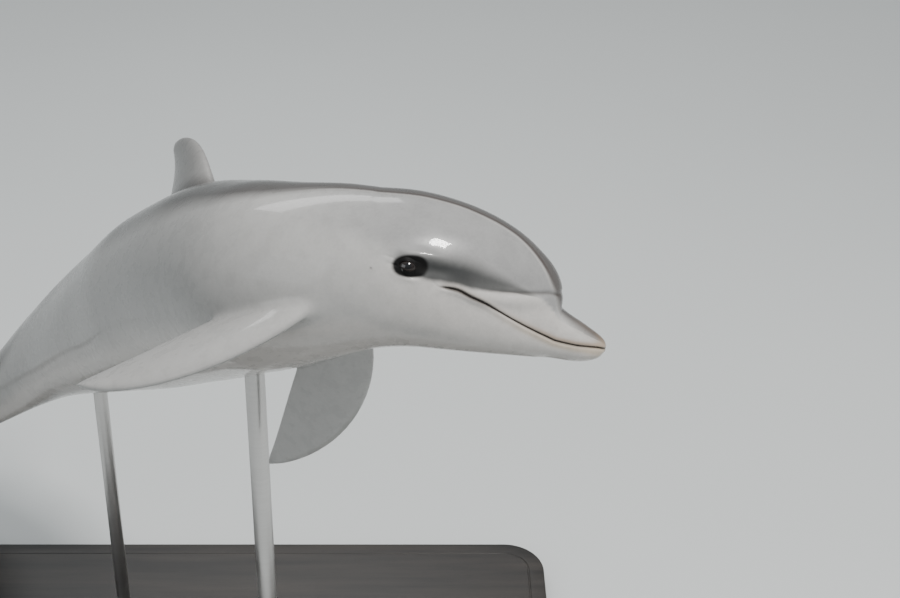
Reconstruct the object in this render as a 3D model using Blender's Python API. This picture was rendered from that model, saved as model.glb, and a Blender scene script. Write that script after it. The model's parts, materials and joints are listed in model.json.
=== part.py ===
"""Young bottlenose dolphin, life size, held by a plain display stand.

The animal is set out straight first: x runs back from the tip of the beak, y to the animal's left
and z up, in metres.  Every section then takes its place on a curved spine, which gives the posture.
World frame: origin on the floor under the middle of the stand's base, +Z up.
"""
import math

import bmesh
import bpy
import numpy as np
from mathutils import Vector

GAP = 0.0003            # clearance between neighbouring solids
AROUND = 36             # corners on a body section
AROUND_UPPER, AROUND_LOWER = 21, 17   # and on its parts above and below the mouth line

# Body sections behind the eyes: station, top, bottom, half width, roundness exponent
TRUNK = (
    (0.300, 0.096, -0.106, 0.099, 2.05),
    (0.378, 0.106, -0.116, 0.110, 2.05),
    (0.480, 0.121, -0.127, 0.122, 2.10),
    (0.640, 0.135, -0.133, 0.131, 2.10),
    (0.790, 0.134, -0.129, 0.126, 2.05),
    (0.930, 0.119, -0.117, 0.108, 2.00),
    (1.070, 0.098, -0.100, 0.085, 1.95),
    (1.185, 0.080, -0.082, 0.063, 1.85),
    (1.300, 0.062, -0.062, 0.042, 1.75),
    (1.410, 0.045, -0.044, 0.027, 1.75),
    (1.500, 0.031, -0.030, 0.021, 1.80),
    (1.560, 0.019, -0.018, 0.018, 2.00),
    (1.600, 0.009, -0.009, 0.012, 2.00),
    (1.613, 0.003, -0.003, 0.004, 2.00),
)
# Jaws and cheeks, which carry on inside the head
JAW = (
    (-0.0060, -0.0265, -0.0285, 0.0010, 2.00),
    (-0.0030, -0.0200, -0.0370, 0.0100, 2.00),
    (0.0035, -0.0150, -0.0440, 0.0170, 2.10),
    (0.0250, -0.0070, -0.0535, 0.0245, 2.20),
    (0.0640, 0.0060, -0.0600, 0.0345, 2.30),
    (0.0800, 0.0180, -0.0640, 0.0410, 2.45),
    (0.1000, 0.0280, -0.0680, 0.0490, 2.60),
    (0.1500, 0.0430, -0.0790, 0.0640, 2.50),
    (0.2100, 0.0600, -0.0920, 0.0820, 2.20),
    (0.2600, 0.0830, -0.1010, 0.0920, 2.05),
    (0.3000, 0.0960, -0.1060, 0.0990, 2.05),
)
# Melon, the domed forehead that stands on the jaws: station, top, bottom, half width
MELON = (
    (0.064, 0.006, -0.010, 0.0040),
    (0.067, 0.020, -0.020, 0.0170),
    (0.077, 0.039, -0.026, 0.0290),
    (0.091, 0.053, -0.032, 0.0385),
    (0.108, 0.064, -0.038, 0.0475),
    (0.132, 0.076, -0.046, 0.0585),
    (0.155, 0.084, -0.054, 0.0665),
    (0.183, 0.090, -0.064, 0.0750),
    (0.210, 0.093, -0.076, 0.0820),
    (0.260, 0.095, -0.096, 0.0930),
    (0.300, 0.096, -0.106, 0.0990),
)
# Height of the mouth line along the jaws: station, height
MOUTH = (
    (-0.006, -0.0265), (0.004, -0.0265), (0.018, -0.0285), (0.038, -0.0315), (0.062, -0.0325),
    (0.078, -0.0300), (0.123, -0.0210), (0.147, -0.0150), (0.169, -0.0095), (0.186, -0.0070),
    (0.205, -0.0035), (0.226, -0.0070),
)
MELON_STATION = 0.064
HEAD_STATION = 0.300
CREASE_BLEND = 0.009    # how softly the melon runs into the jaws
CREASE_FADE = 0.060     # and the length before the head over which the crease dies out

# Posture: station, turn and rise of the forward direction, roll of the back, in degrees, measured in
# an upright plane that leans back by POSTURE_LEAN about the world X axis
POSTURE = (
    (0.00, -5.5, -17.5, 8.5),
    (0.20, -5.5, -17.5, 8.5),
    (0.36, 26.0, 6.0, -18.0),
    (0.53, 62.0, 8.0, -18.0),
    (0.76, 55.0, 18.0, -18.0),
    (1.02, 50.0, 20.0, -20.0),
    (1.30, 36.0, 34.0, -10.0),
    (1.44, 26.0, 30.0, -6.0),
    (1.68, 26.0, 30.0, -6.0),
)
POSTURE_LEAN = 32.0
ANCHOR_STATION = 0.26                 # the spine point between the eyes
ANCHOR_AT = (0.310, -0.235, 1.010)    # and where it is in the world

EYE_STATION, EYE_HEIGHT = 0.260, 0.0005
EYE_RADIUS, EYE_PROUD = 0.0125, 0.0040

JAW_CUTS = (-0.0055, -0.0030, 0.002, 0.010, 0.024, 0.042, 0.056, 0.0660)
MELON_CUTS = (0.0665, 0.068, 0.071, 0.075, 0.080, 0.087, 0.096, 0.108, 0.124, 0.142, 0.162,
              0.184, 0.205, 0.2247)
HEAD_CUTS = (0.2250, 0.240, 0.255, 0.270, 0.285, 0.300, 0.3147)
CHEST_CUTS = (0.3150, 0.343, 0.371, 0.399, 0.427, 0.457, 0.490, 0.530, 0.5697)
TRUNK_CUTS = (0.5700, 0.610, 0.655, 0.700, 0.745, 0.790, 0.835, 0.880, 0.9197)
STOCK_FRONT_CUTS = (0.9200, 0.965, 1.010, 1.055, 1.100, 1.150, 1.2197)
STOCK_REAR_CUTS = (1.2200, 1.270, 1.320, 1.370, 1.420, 1.470, 1.515, 1.555, 1.590, 1.612)

BASE_SIZE = (1.10, 0.76, 0.030)
BASE_CORNER, BASE_EDGE = 0.070, 0.004
FOOT_SOCKET = 0.016
# Rods: station on the belly where each meets the animal, radius, length inside the body
RODS = {"front": (0.630, 0.014, 0.050), "rear": (1.100, 0.011, 0.040)}
COLLAR_RADIUS, COLLAR_HEIGHT, COLLAR_FLANGE = 0.042, 0.014, 0.006
COLLAR_NECK = (0.010, 0.007)          # how far its neck stands off the rod, at its foot and top
CUTTER_PAST = 0.020                   # how far a cutter runs past the face it cuts


# ---------------------------------------------------------------- curves and sections
def smooth_rows(rows, x):
    """Monotone cubic through the rows' columns at x (a number or an array)."""
    t = np.asarray(rows, float)
    xs, ys = t[:, 0], t[:, 1:]
    h = np.diff(xs)[:, None]
    d = np.diff(ys, axis=0) / h
    m = np.zeros_like(ys)
    same = d[:-1] * d[1:] > 0
    w1, w2 = 2 * h[1:] + h[:-1], h[1:] + 2 * h[:-1]
    safe0, safe1 = np.where(same, d[:-1], 1.0), np.where(same, d[1:], 1.0)
    m[1:-1] = np.where(same, (w1 + w2) / (w1 / safe0 + w2 / safe1), 0.0)
    m[0], m[-1] = d[0], d[-1]
    x = np.atleast_1d(np.asarray(x, float))
    i = np.clip(np.searchsorted(xs, x) - 1, 0, len(xs) - 2)
    hh = h[i]
    u = ((x - xs[i]) / hh[:, 0])[:, None]
    h00, h10 = 2 * u**3 - 3 * u**2 + 1, u**3 - 2 * u**2 + u
    h01, h11 = -2 * u**3 + 3 * u**2, u**3 - u**2
    return h00 * ys[i] + h10 * hh * m[i] + h01 * ys[i + 1] + h11 * hh * m[i + 1]


def superellipse_reach(theta, top, bottom, half_width, power, centre):
    """Distance from (0, centre) to the section's outline along theta (0 is up, + is left)."""
    s, c = np.sin(theta), np.cos(theta)
    mid, half = (top + bottom) / 2, (top - bottom) / 2
    low, high = np.zeros_like(theta), np.full_like(theta, 0.5)
    for _ in range(44):
        m = (low + high) / 2
        f = np.abs(m * s / half_width) ** power + np.abs((centre + m * c - mid) / half) ** power
        low, high = np.where(f < 1, m, low), np.where(f < 1, high, m)
    return low


def ellipse_far_side(theta, top, bottom, half_width, centre):
    """Distance to the far side of an ellipse along theta, or 0 where the ray misses it."""
    s, c = np.sin(theta), np.cos(theta)
    mid, half = (top + bottom) / 2, (top - bottom) / 2
    a = (s / half_width) ** 2 + (c / half) ** 2
    b = 2 * c * (centre - mid) / half**2
    q = ((centre - mid) / half) ** 2 - 1
    disc = b * b - 4 * a * q
    return np.where(disc > 0, (-b + np.sqrt(np.maximum(disc, 0))) / (2 * a), 0.0)


def section(x, theta):
    """Reach and centre height of the body's outline at station x."""
    if x >= HEAD_STATION:
        top, bottom, wide, power = smooth_rows(TRUNK, x)[0]
        centre = (top + bottom) / 2
        return superellipse_reach(theta, top, bottom, wide, power, centre), centre
    top, bottom, wide, power = smooth_rows(JAW, x)[0]
    centre = (top + bottom) / 2
    jaw = superellipse_reach(theta, top, bottom, wide, power, centre)
    if x <= MELON_STATION:
        return jaw, centre
    melon = ellipse_far_side(theta, *smooth_rows(MELON, x)[0], centre)
    k = CREASE_BLEND * min(1.0, (HEAD_STATION - x) / CREASE_FADE)
    h = np.clip(0.5 + 0.5 * (melon - jaw) / k, 0, 1)
    return jaw * (1 - h) + melon * h + k * h * (1 - h), centre


def outline(x, theta):
    """Points of the body's outline at station x, straight pose."""
    theta = np.atleast_1d(np.asarray(theta, float))
    reach, centre = section(x, theta)
    return np.stack([np.full_like(reach, x), reach * np.sin(theta),
                     centre + reach * np.cos(theta)], 1)


def theta_at_height(x, z):
    """Angle on the left side where the outline at station x stands at height z."""
    theta = np.linspace(math.radians(25), math.radians(165), 701)
    heights = outline(x, theta)[:, 2]
    return float(np.interp(-z, -heights, theta))


class Spine:
    """The curved line that carries the sections, with a frame at each station."""

    def __init__(self, rows, length=1.75, count=701):
        self.xs = np.linspace(-0.01, length, count)
        turn, rise, roll = np.radians(smooth_rows(rows, np.clip(self.xs, rows[0][0], rows[-1][0]))).T
        fwd = np.stack([np.cos(turn) * np.cos(rise), np.cos(turn) * np.sin(rise), np.sin(turn)], 1)
        up = np.array([0, 1.0, 0]) - fwd * fwd[:, 1:2]
        up /= np.linalg.norm(up, axis=1)[:, None]
        left = np.cross(up, fwd)
        back = up * np.cos(roll)[:, None] - left * np.sin(roll)[:, None]
        step = self.xs[1] - self.xs[0]
        pos = np.zeros_like(fwd)
        pos[1:] = np.cumsum(-(fwd[1:] + fwd[:-1]) / 2 * step, 0)
        lean = math.radians(POSTURE_LEAN)
        turn_up = np.array([[1, 0, 0], [0, math.sin(lean), -math.cos(lean)],
                            [0, math.cos(lean), math.sin(lean)]])
        self.fwd, self.up = fwd @ turn_up.T, back @ turn_up.T
        self.left = np.cross(self.up, self.fwd)
        pos = pos @ turn_up.T
        self.pos = pos - self.at(pos, ANCHOR_STATION) + np.array(ANCHOR_AT)

    def at(self, field, x):
        """A field's value at station x (a number or an array)."""
        cols = [np.interp(x, self.xs, field[:, i]) for i in range(3)]
        return np.stack(cols, -1)

    def place(self, points):
        """Straight-pose points to the world."""
        p = np.asarray(points, float)
        x = p[:, 0]
        return (self.at(self.pos, x) + self.at(self.left, x) * p[:, 1:2]
                + self.at(self.up, x) * p[:, 2:3])

    def direction(self, x, local):
        """A (back, left, up) direction at station x, in the world."""
        v = -self.at(self.fwd, x) * local[0] + self.at(self.left, x) * local[1] \
            + self.at(self.up, x) * local[2]
        return v / np.linalg.norm(v)


SPINE = Spine(POSTURE)


# ---------------------------------------------------------------- mesh helpers
def new_object(name, bm, colour, rough=0.4, metal=0.0):
    """A finished object of the part, with faces out and its own finish."""
    bmesh.ops.remove_doubles(bm, verts=bm.verts, dist=1e-6)
    bmesh.ops.triangulate(bm, faces=bm.faces)
    bmesh.ops.recalc_face_normals(bm, faces=bm.faces)
    mesh = bpy.data.meshes.new(name)
    bm.to_mesh(mesh)
    bm.free()
    if mesh_volume(mesh) < 0:
        mesh.flip_normals()
    obj = bpy.data.objects.new(name, mesh)
    PART.objects.link(obj)
    mat = bpy.data.materials.new(name)
    mat.use_nodes = True
    shader = mat.node_tree.nodes["Principled BSDF"]
    shader.inputs["Base Color"].default_value = (*colour, 1)
    shader.inputs["Roughness"].default_value = rough
    shader.inputs["Metallic"].default_value = metal
    mesh.materials.append(mat)
    return obj


def mesh_volume(mesh):
    """Signed volume of a closed mesh."""
    bm = bmesh.new()
    bm.from_mesh(mesh)
    volume = bm.calc_volume(signed=True)
    bm.free()
    return volume


def loft(bm, rings, cap_start=True, cap_end=True):
    """Closed surface through rings of equally many points, with fanned ends."""
    loops = [[bm.verts.new(Vector(p)) for p in ring] for ring in rings]
    n = len(loops[0])
    for a, b in zip(loops[:-1], loops[1:]):
        for j in range(n):
            k = (j + 1) % n
            bm.faces.new((a[j], a[k], b[k], b[j]))
    for wanted, loop in ((cap_start, loops[0]), (cap_end, loops[-1])):
        if wanted:
            centre = bm.verts.new(sum((v.co for v in loop), Vector()) / n)
            for j in range(n):
                bm.faces.new((loop[j], loop[(j + 1) % n], centre))
    return loops


def cut(obj, cutter, keep_cutter=False):
    """Subtract one closed mesh object from another."""
    mod = obj.modifiers.new("cut", "BOOLEAN")
    mod.operation, mod.solver, mod.object = "DIFFERENCE", "EXACT", cutter
    graph = bpy.context.evaluated_depsgraph_get()
    mesh = bpy.data.meshes.new_from_object(obj.evaluated_get(graph))
    obj.modifiers.remove(mod)
    bm = bmesh.new()
    bm.from_mesh(mesh)
    bmesh.ops.remove_doubles(bm, verts=bm.verts, dist=2e-6)
    bmesh.ops.dissolve_degenerate(bm, edges=bm.edges, dist=2e-6)
    bmesh.ops.triangulate(bm, faces=bm.faces)
    bm.to_mesh(obj.data)
    bm.free()
    bpy.data.meshes.remove(mesh)
    if not keep_cutter:
        bpy.data.objects.remove(cutter)


def cutter_object(name, bm):
    """A hidden wire object used for cutting."""
    bmesh.ops.triangulate(bm, faces=bm.faces)
    bmesh.ops.recalc_face_normals(bm, faces=bm.faces)
    mesh = bpy.data.meshes.new(name)
    bm.to_mesh(mesh)
    bm.free()
    obj = bpy.data.objects.new(name, mesh)
    obj.hide_render, obj.display_type = True, "WIRE"
    CUTTERS.objects.link(obj)
    return obj


# ---------------------------------------------------------------- body
def body_rings(stations):
    """Full rings in the world at the stations."""
    theta = np.linspace(0, 2 * math.pi, AROUND, endpoint=False)
    return [SPINE.place(outline(x, theta)) for x in stations]


def body_segment(name, stations, colour):
    """A slice of the body between its first and last station."""
    bm = bmesh.new()
    loft(bm, body_rings(stations))
    return new_object(name, bm, colour)


def jaw_segment(name, stations, upper, colour):
    """A slice of the face above or below the mouth line."""
    rings = []
    for x in stations:
        z = float(smooth_rows(MOUTH, x)[0, 0])
        t = theta_at_height(x, z + (GAP / 2 if upper else -GAP / 2))
        theta = np.linspace(-t, t, AROUND_UPPER) if upper \
            else np.linspace(t, 2 * math.pi - t, AROUND_LOWER)
        rings.append(SPINE.place(outline(x, theta)))
    bm = bmesh.new()
    loft(bm, rings)
    return new_object(name, bm, colour)


def whole_body(grow):
    """The whole body from beak to tail, a little larger all round, for trimming the fins."""
    cuts = JAW_CUTS + MELON_CUTS + HEAD_CUTS[1:] + CHEST_CUTS[1:] + TRUNK_CUTS[1:] \
        + STOCK_FRONT_CUTS[1:] + STOCK_REAR_CUTS[1:]
    bm = bmesh.new()
    loft(bm, body_rings(cuts))
    bmesh.ops.recalc_face_normals(bm, faces=bm.faces)
    bm.normal_update()
    for v in bm.verts:
        v.co += v.normal * grow
    return cutter_object("body_for_trimming", bm)


def eye_centre(side):
    """Middle of the eyeball on one side (+1 left, -1 right)."""
    t = theta_at_height(EYE_STATION, EYE_HEIGHT) * side
    p, back, along = SPINE.place(np.concatenate([
        outline(EYE_STATION, t), outline(EYE_STATION + 0.004, t), outline(EYE_STATION, t + 0.04)]))
    normal = np.cross(back - p, along - p)
    normal /= np.linalg.norm(normal)
    if np.dot(normal, SPINE.direction(EYE_STATION, (0, side, 0))) < 0:
        normal = -normal
    return p - normal * (EYE_RADIUS - EYE_PROUD), normal


def ball(bm, centre, radius, around=16, rows=10):
    """A sphere added to the mesh."""
    made = bmesh.ops.create_uvsphere(bm, u_segments=around, v_segments=rows, radius=radius)
    bmesh.ops.translate(bm, verts=made["verts"], vec=Vector(centre))


def build_head():
    """Beak, jaw, melon and head, with eyes in their sockets."""
    grey, pale, dark = (0.42, 0.44, 0.46), (0.60, 0.60, 0.60), (0.30, 0.31, 0.34)
    jaw_segment("beak_upper", JAW_CUTS, True, grey)
    jaw_segment("lower_jaw", JAW_CUTS + MELON_CUTS, False, pale)
    jaw_segment("melon", MELON_CUTS, True, dark)
    head = body_segment("head", HEAD_CUTS, grey)
    for side, name in ((-1, "right"), (1, "left")):
        centre, _ = eye_centre(side)
        bm = bmesh.new()
        ball(bm, centre, EYE_RADIUS + GAP)
        cut(head, cutter_object("socket_" + name, bm))
        bm = bmesh.new()
        ball(bm, centre, EYE_RADIUS)
        new_object("eye_" + name, bm, (0.02, 0.015, 0.012), 0.1)


# ---------------------------------------------------------------- fins
def bezier(points, t):
    """Point on a cubic curve."""
    p = [np.array(q, float) for q in points]
    return (1 - t) ** 3 * p[0] + 3 * (1 - t) ** 2 * t * p[1] + 3 * (1 - t) * t * t * p[2] + t**3 * p[3]


def blade_rings(lead, trail, half_thickness, normal, count=11, around=12):
    """Rings of a fin between its leading and trailing curves, fullest near the front."""
    rings = []
    for i in range(count):
        s = math.sin(math.pi / 2 * i / (count - 1)) ** 1.15
        a, b = bezier(lead, s), bezier(trail, s)
        thick = half_thickness(s)
        ring = []
        for j in range(around):
            f = 2 * math.pi * j / around
            ring.append((a + b) / 2 + (a - b) / 2 * math.cos(f)
                        + normal * thick * math.sin(f) * (1 + 0.35 * math.cos(f)))
        rings.append(np.array(ring))
    return rings


def fin_object(name, rings, colour):
    """A fin trimmed back from the body's surface."""
    bm = bmesh.new()
    loft(bm, rings)
    fin = new_object(name, bm, colour)
    cut(fin, BODY_CUTTER, keep_cutter=True)
    return fin


def dorsal_fin():
    """The falcate fin on the middle of the back."""
    lead = ((0.648, 0, 0.100), (0.765, 0, 0.150), (0.775, 0, 0.268), (0.902, 0, 0.284))
    trail = ((0.905, 0, 0.085), (0.868, 0, 0.150), (0.868, 0, 0.225), (0.916, 0, 0.274))
    rings = blade_rings(lead, trail, lambda s: 0.0165 * (1 - s) ** 0.8 + 0.0022, np.array([0, 1.0, 0]))
    fin_object("dorsal_fin", [SPINE.place(r) for r in rings], (0.27, 0.28, 0.31))


FLIPPER_LENGTH, FLIPPER_CHORD = 0.275, 0.105
# Each flipper: side, station and angle of its root, sweep from straight back, droop, twist
FLIPPERS = {"right": (-1, 0.380, 137, 17, 24, 1),
            "left": (1, 0.380, 133, 41, 27, 7)}


def flipper_frame(name):
    """Root point, spanwise, chordwise and flat directions of a flipper, in the world."""
    side, station, angle, sweep, droop, twist = FLIPPERS[name]
    a, e, t = math.radians(sweep), math.radians(droop), math.radians(twist)
    span = np.array([math.cos(e) * math.cos(a), side * math.cos(e) * math.sin(a), -math.sin(e)])
    chord = np.array([-1.0, 0, 0]) - span * -span[0]
    chord /= np.linalg.norm(chord)
    chord = chord * math.cos(t) + np.cross(span, chord) * math.sin(t)
    root = SPINE.place(outline(station, side * math.radians(angle)))[0]
    span, chord = SPINE.direction(station, span), SPINE.direction(station, chord)
    return root, span, chord, np.cross(span, chord)


def flipper(name):
    """A pectoral flipper, swept back, that leaves the body along its insertion."""
    root, span, chord, flat = flipper_frame(name)
    length, wide = FLIPPER_LENGTH, FLIPPER_CHORD
    lead = ((-0.060, 0.004), (0.040, 0.078), (0.205, 0.052), (length - 0.004, -0.030))
    trail = ((-0.004, -0.50 * wide), (0.35 * length, -0.50 * wide), (0.72 * length, -0.36 * wide),
             (length, -0.037))

    def world(points):
        return tuple(root + span * u + chord * v for u, v in points)
    rings = blade_rings(world(lead), world(trail), lambda s: 0.0125 * (1 - s) ** 0.7 + 0.0022, flat)
    fin_object("flipper_" + name, rings, (0.50, 0.51, 0.53))


def fluke(name, side):
    """One half of the tail flukes."""
    y0 = GAP / 2
    lead = ((1.420, y0, 0), (1.478, 0.075, 0), (1.545, 0.168, 0), (1.654, 0.214, 0))
    trail = ((1.606, y0, 0), (1.646, 0.035, 0), (1.604, 0.130, 0), (1.663, 0.209, 0))
    flip = np.array([1, side, 1.0])
    rings = blade_rings(lead, trail, lambda s: 0.0135 * (1 - s) ** 0.9 + 0.0022, np.array([0, 0, 1.0]))
    fin_object("fluke_" + name, [SPINE.place(r * flip) for r in rings], (0.30, 0.31, 0.34))


# ---------------------------------------------------------------- stand
def rod_place(key):
    """Foot and top of a rod, found under the belly at its station."""
    station, radius, depth = RODS[key]
    theta = np.linspace(math.radians(100), math.radians(260), 641)
    belly = SPINE.place(outline(station, theta))
    low = belly[np.argmin(belly[:, 2])]
    return Vector((low[0], low[1], 0)), float(low[2]) + depth, radius


def tube(bm, centre, radius, low, high, around=24):
    """An upright cylinder added to the mesh."""
    made = bmesh.ops.create_cone(bm, cap_ends=True, segments=around, radius1=radius, radius2=radius,
                                 depth=high - low)
    bmesh.ops.translate(bm, verts=made["verts"], vec=Vector((centre.x, centre.y, (low + high) / 2)))


def stand():
    """The flat base, and the rods with a collar round each foot."""
    bm = bmesh.new()
    bmesh.ops.create_cube(bm, size=1)
    bmesh.ops.scale(bm, verts=bm.verts, vec=Vector(BASE_SIZE))
    bmesh.ops.translate(bm, verts=bm.verts, vec=Vector((0, 0, BASE_SIZE[2] / 2)))
    upright = [e for e in bm.edges if abs(e.verts[0].co.z - e.verts[1].co.z) > 0.01]
    bmesh.ops.bevel(bm, geom=upright, offset=BASE_CORNER, offset_type="OFFSET", segments=6,
                    profile=0.5, affect="EDGES", material=-1)
    rim = [e for e in bm.edges if e.verts[0].co.z > 0.02 and e.verts[1].co.z > 0.02]
    bmesh.ops.bevel(bm, geom=rim, offset=BASE_EDGE, offset_type="OFFSET", segments=1, profile=0.5,
                    affect="EDGES", material=-1)
    base = new_object("stand_base", bm, (0.05, 0.05, 0.055), 0.5)
    top = BASE_SIZE[2]
    for key in RODS:
        foot, high, radius = rod_place(key)
        bm = bmesh.new()
        tube(bm, foot, radius + GAP, top - FOOT_SOCKET, top + CUTTER_PAST)
        cut(base, cutter_object("foot_socket", bm))
        bm = bmesh.new()
        tube(bm, foot, radius, top - FOOT_SOCKET + GAP, high)
        new_object("stand_rod_" + key, bm, (0.6, 0.6, 0.6), 0.3, 1.0)
        collar(key, foot, radius, top)
        bm = bmesh.new()
        tube(bm, foot, radius + GAP, top + CUTTER_PAST, high + GAP)
        host = bpy.data.objects[{"front": "trunk", "rear": "tail_stock_front"}[key]]
        cut(host, cutter_object("body_socket", bm))


def collar(key, foot, radius, top):
    """A turned collar round the foot of a rod."""
    low, high = top + GAP, top + GAP + COLLAR_HEIGHT
    bore = radius + GAP
    foot_neck, top_neck = (radius + off for off in COLLAR_NECK)
    profile = ((bore, low), (COLLAR_RADIUS, low), (COLLAR_RADIUS, low + COLLAR_FLANGE),
               (foot_neck, low + COLLAR_FLANGE), (top_neck, high), (bore, high))
    bm = bmesh.new()
    verts = [bm.verts.new(Vector((foot.x + r, foot.y, z))) for r, z in profile]
    edges = [bm.edges.new((verts[i], verts[(i + 1) % len(verts)])) for i in range(len(verts))]
    bmesh.ops.spin(bm, geom=verts + edges, cent=foot, axis=Vector((0, 0, 1)), angle=2 * math.pi,
                   steps=24, use_merge=True)
    new_object("stand_collar_" + key, bm, (0.6, 0.6, 0.6), 0.3, 1.0)


# ---------------------------------------------------------------- assembly
for old in list(bpy.data.objects):
    bpy.data.objects.remove(old)
PART = bpy.data.collections.new("bottlenose_dolphin")
CUTTERS = bpy.data.collections.new("cutters")
for group in (PART, CUTTERS):
    bpy.context.scene.collection.children.link(group)

build_head()
body_segment("chest", CHEST_CUTS, (0.45, 0.46, 0.49))
body_segment("trunk", TRUNK_CUTS, (0.40, 0.41, 0.44))
body_segment("tail_stock_front", STOCK_FRONT_CUTS, (0.36, 0.37, 0.40))
body_segment("tail_stock_rear", STOCK_REAR_CUTS, (0.32, 0.33, 0.36))
BODY_CUTTER = whole_body(GAP + 0.0001)
dorsal_fin()
flipper("right")
flipper("left")
fluke("left", 1)
fluke("right", -1)
stand()
bpy.data.objects.remove(BODY_CUTTER)
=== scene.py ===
"""Looks of the life-size young bottlenose dolphin: one skin over the solids, eyes, stand and studio.

The animal is laid out straight first: x runs back from the tip of the beak, y to the animal's left
and z up, in metres.  A curved spine then gives every section its place in the world, as in the CAD.
"""

import json
import logging
import math
from dataclasses import dataclass, field
from enum import Enum
from typing import Callable, Dict, List, Optional, Sequence, Tuple

import bmesh
import bpy
import numpy as np
from mathutils import Matrix, Vector

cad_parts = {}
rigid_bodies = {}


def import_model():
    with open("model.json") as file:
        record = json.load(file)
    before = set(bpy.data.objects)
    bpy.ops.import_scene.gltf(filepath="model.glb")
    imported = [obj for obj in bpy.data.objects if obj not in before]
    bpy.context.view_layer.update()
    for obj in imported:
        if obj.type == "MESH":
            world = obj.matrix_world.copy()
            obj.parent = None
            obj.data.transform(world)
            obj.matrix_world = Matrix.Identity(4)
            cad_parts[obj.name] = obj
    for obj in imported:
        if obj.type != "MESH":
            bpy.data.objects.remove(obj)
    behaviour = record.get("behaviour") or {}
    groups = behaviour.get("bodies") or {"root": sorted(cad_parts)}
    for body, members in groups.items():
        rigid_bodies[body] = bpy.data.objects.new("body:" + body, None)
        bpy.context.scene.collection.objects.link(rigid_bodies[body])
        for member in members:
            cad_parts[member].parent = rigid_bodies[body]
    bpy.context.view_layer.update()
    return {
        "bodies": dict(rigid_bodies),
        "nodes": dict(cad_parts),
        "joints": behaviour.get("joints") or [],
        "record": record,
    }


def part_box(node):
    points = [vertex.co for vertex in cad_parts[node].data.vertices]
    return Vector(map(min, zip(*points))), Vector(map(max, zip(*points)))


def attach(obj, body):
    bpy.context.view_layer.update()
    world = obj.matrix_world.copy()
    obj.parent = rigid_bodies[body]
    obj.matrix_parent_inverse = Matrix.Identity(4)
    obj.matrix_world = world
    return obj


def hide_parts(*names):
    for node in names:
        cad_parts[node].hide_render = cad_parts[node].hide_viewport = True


LOG = logging.getLogger("dolphin")
Array = np.ndarray
Rows = Tuple[Tuple[float, ...], ...]
HALVINGS = 40
FARTHEST = 0.5
TINY = 1e-12


# ------------------------------------------------------------------ numbers
def smooth_rows(rows: Rows, x: Array) -> Array:
    """Monotone cubic through the columns of a table.

    Args:
        rows: Table whose first column is the station.
        x: Stations to read.
    Returns:
        One row of values for each station.
    """
    t = np.asarray(rows, float)
    xs, ys = t[:, 0], t[:, 1:]
    h = np.diff(xs)[:, None]
    d = np.diff(ys, axis=0) / h
    m = np.zeros_like(ys)
    same = d[:-1] * d[1:] > 0
    w1, w2 = 2 * h[1:] + h[:-1], h[1:] + 2 * h[:-1]
    safe0, safe1 = np.where(same, d[:-1], 1.0), np.where(same, d[1:], 1.0)
    m[1:-1] = np.where(same, (w1 + w2) / (w1 / safe0 + w2 / safe1), 0.0)
    m[0], m[-1] = d[0], d[-1]
    x = np.atleast_1d(np.asarray(x, float))
    i = np.clip(np.searchsorted(xs, x) - 1, 0, len(xs) - 2)
    hh = h[i]
    u = ((x - xs[i]) / hh[:, 0])[:, None]
    h00, h10 = 2 * u**3 - 3 * u**2 + 1, u**3 - 2 * u**2 + u
    h01, h11 = -2 * u**3 + 3 * u**2, u**3 - u**2
    return h00 * ys[i] + h10 * hh * m[i] + h01 * ys[i + 1] + h11 * hh * m[i + 1]


def held_rows(rows: Rows, x: Array) -> Array:
    """Reads a table as smooth_rows does, and holds its end rows beyond its ends."""
    return smooth_rows(rows, np.clip(x, rows[0][0], rows[-1][0]))


def ease(low: float, high: float, x: Array) -> Array:
    """Smooth step from 0 at low to 1 at high."""
    t = np.clip((np.asarray(x, float) - low) / (high - low), 0, 1)
    return t * t * (3 - 2 * t)


def between(x: Array, start: float, full: float, fade: float, end: float) -> Array:
    """0 up to start, 1 from full to fade and 0 again past end."""
    return ease(start, full, x) * (1 - ease(fade, end, x))


def bell(x: Array, width: float) -> Array:
    """Bell curve of height 1 round 0."""
    return np.exp(-np.square(np.asarray(x, float) / width))


def bezier(points: Sequence[Sequence[float]], t: Array) -> Array:
    """Points on a cubic curve at the fractions t."""
    p = np.asarray(points, float)
    t = np.atleast_1d(t)[:, None]
    return ((1 - t) ** 3 * p[0] + 3 * (1 - t) ** 2 * t * p[1]
            + 3 * (1 - t) * t * t * p[2] + t**3 * p[3])


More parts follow.
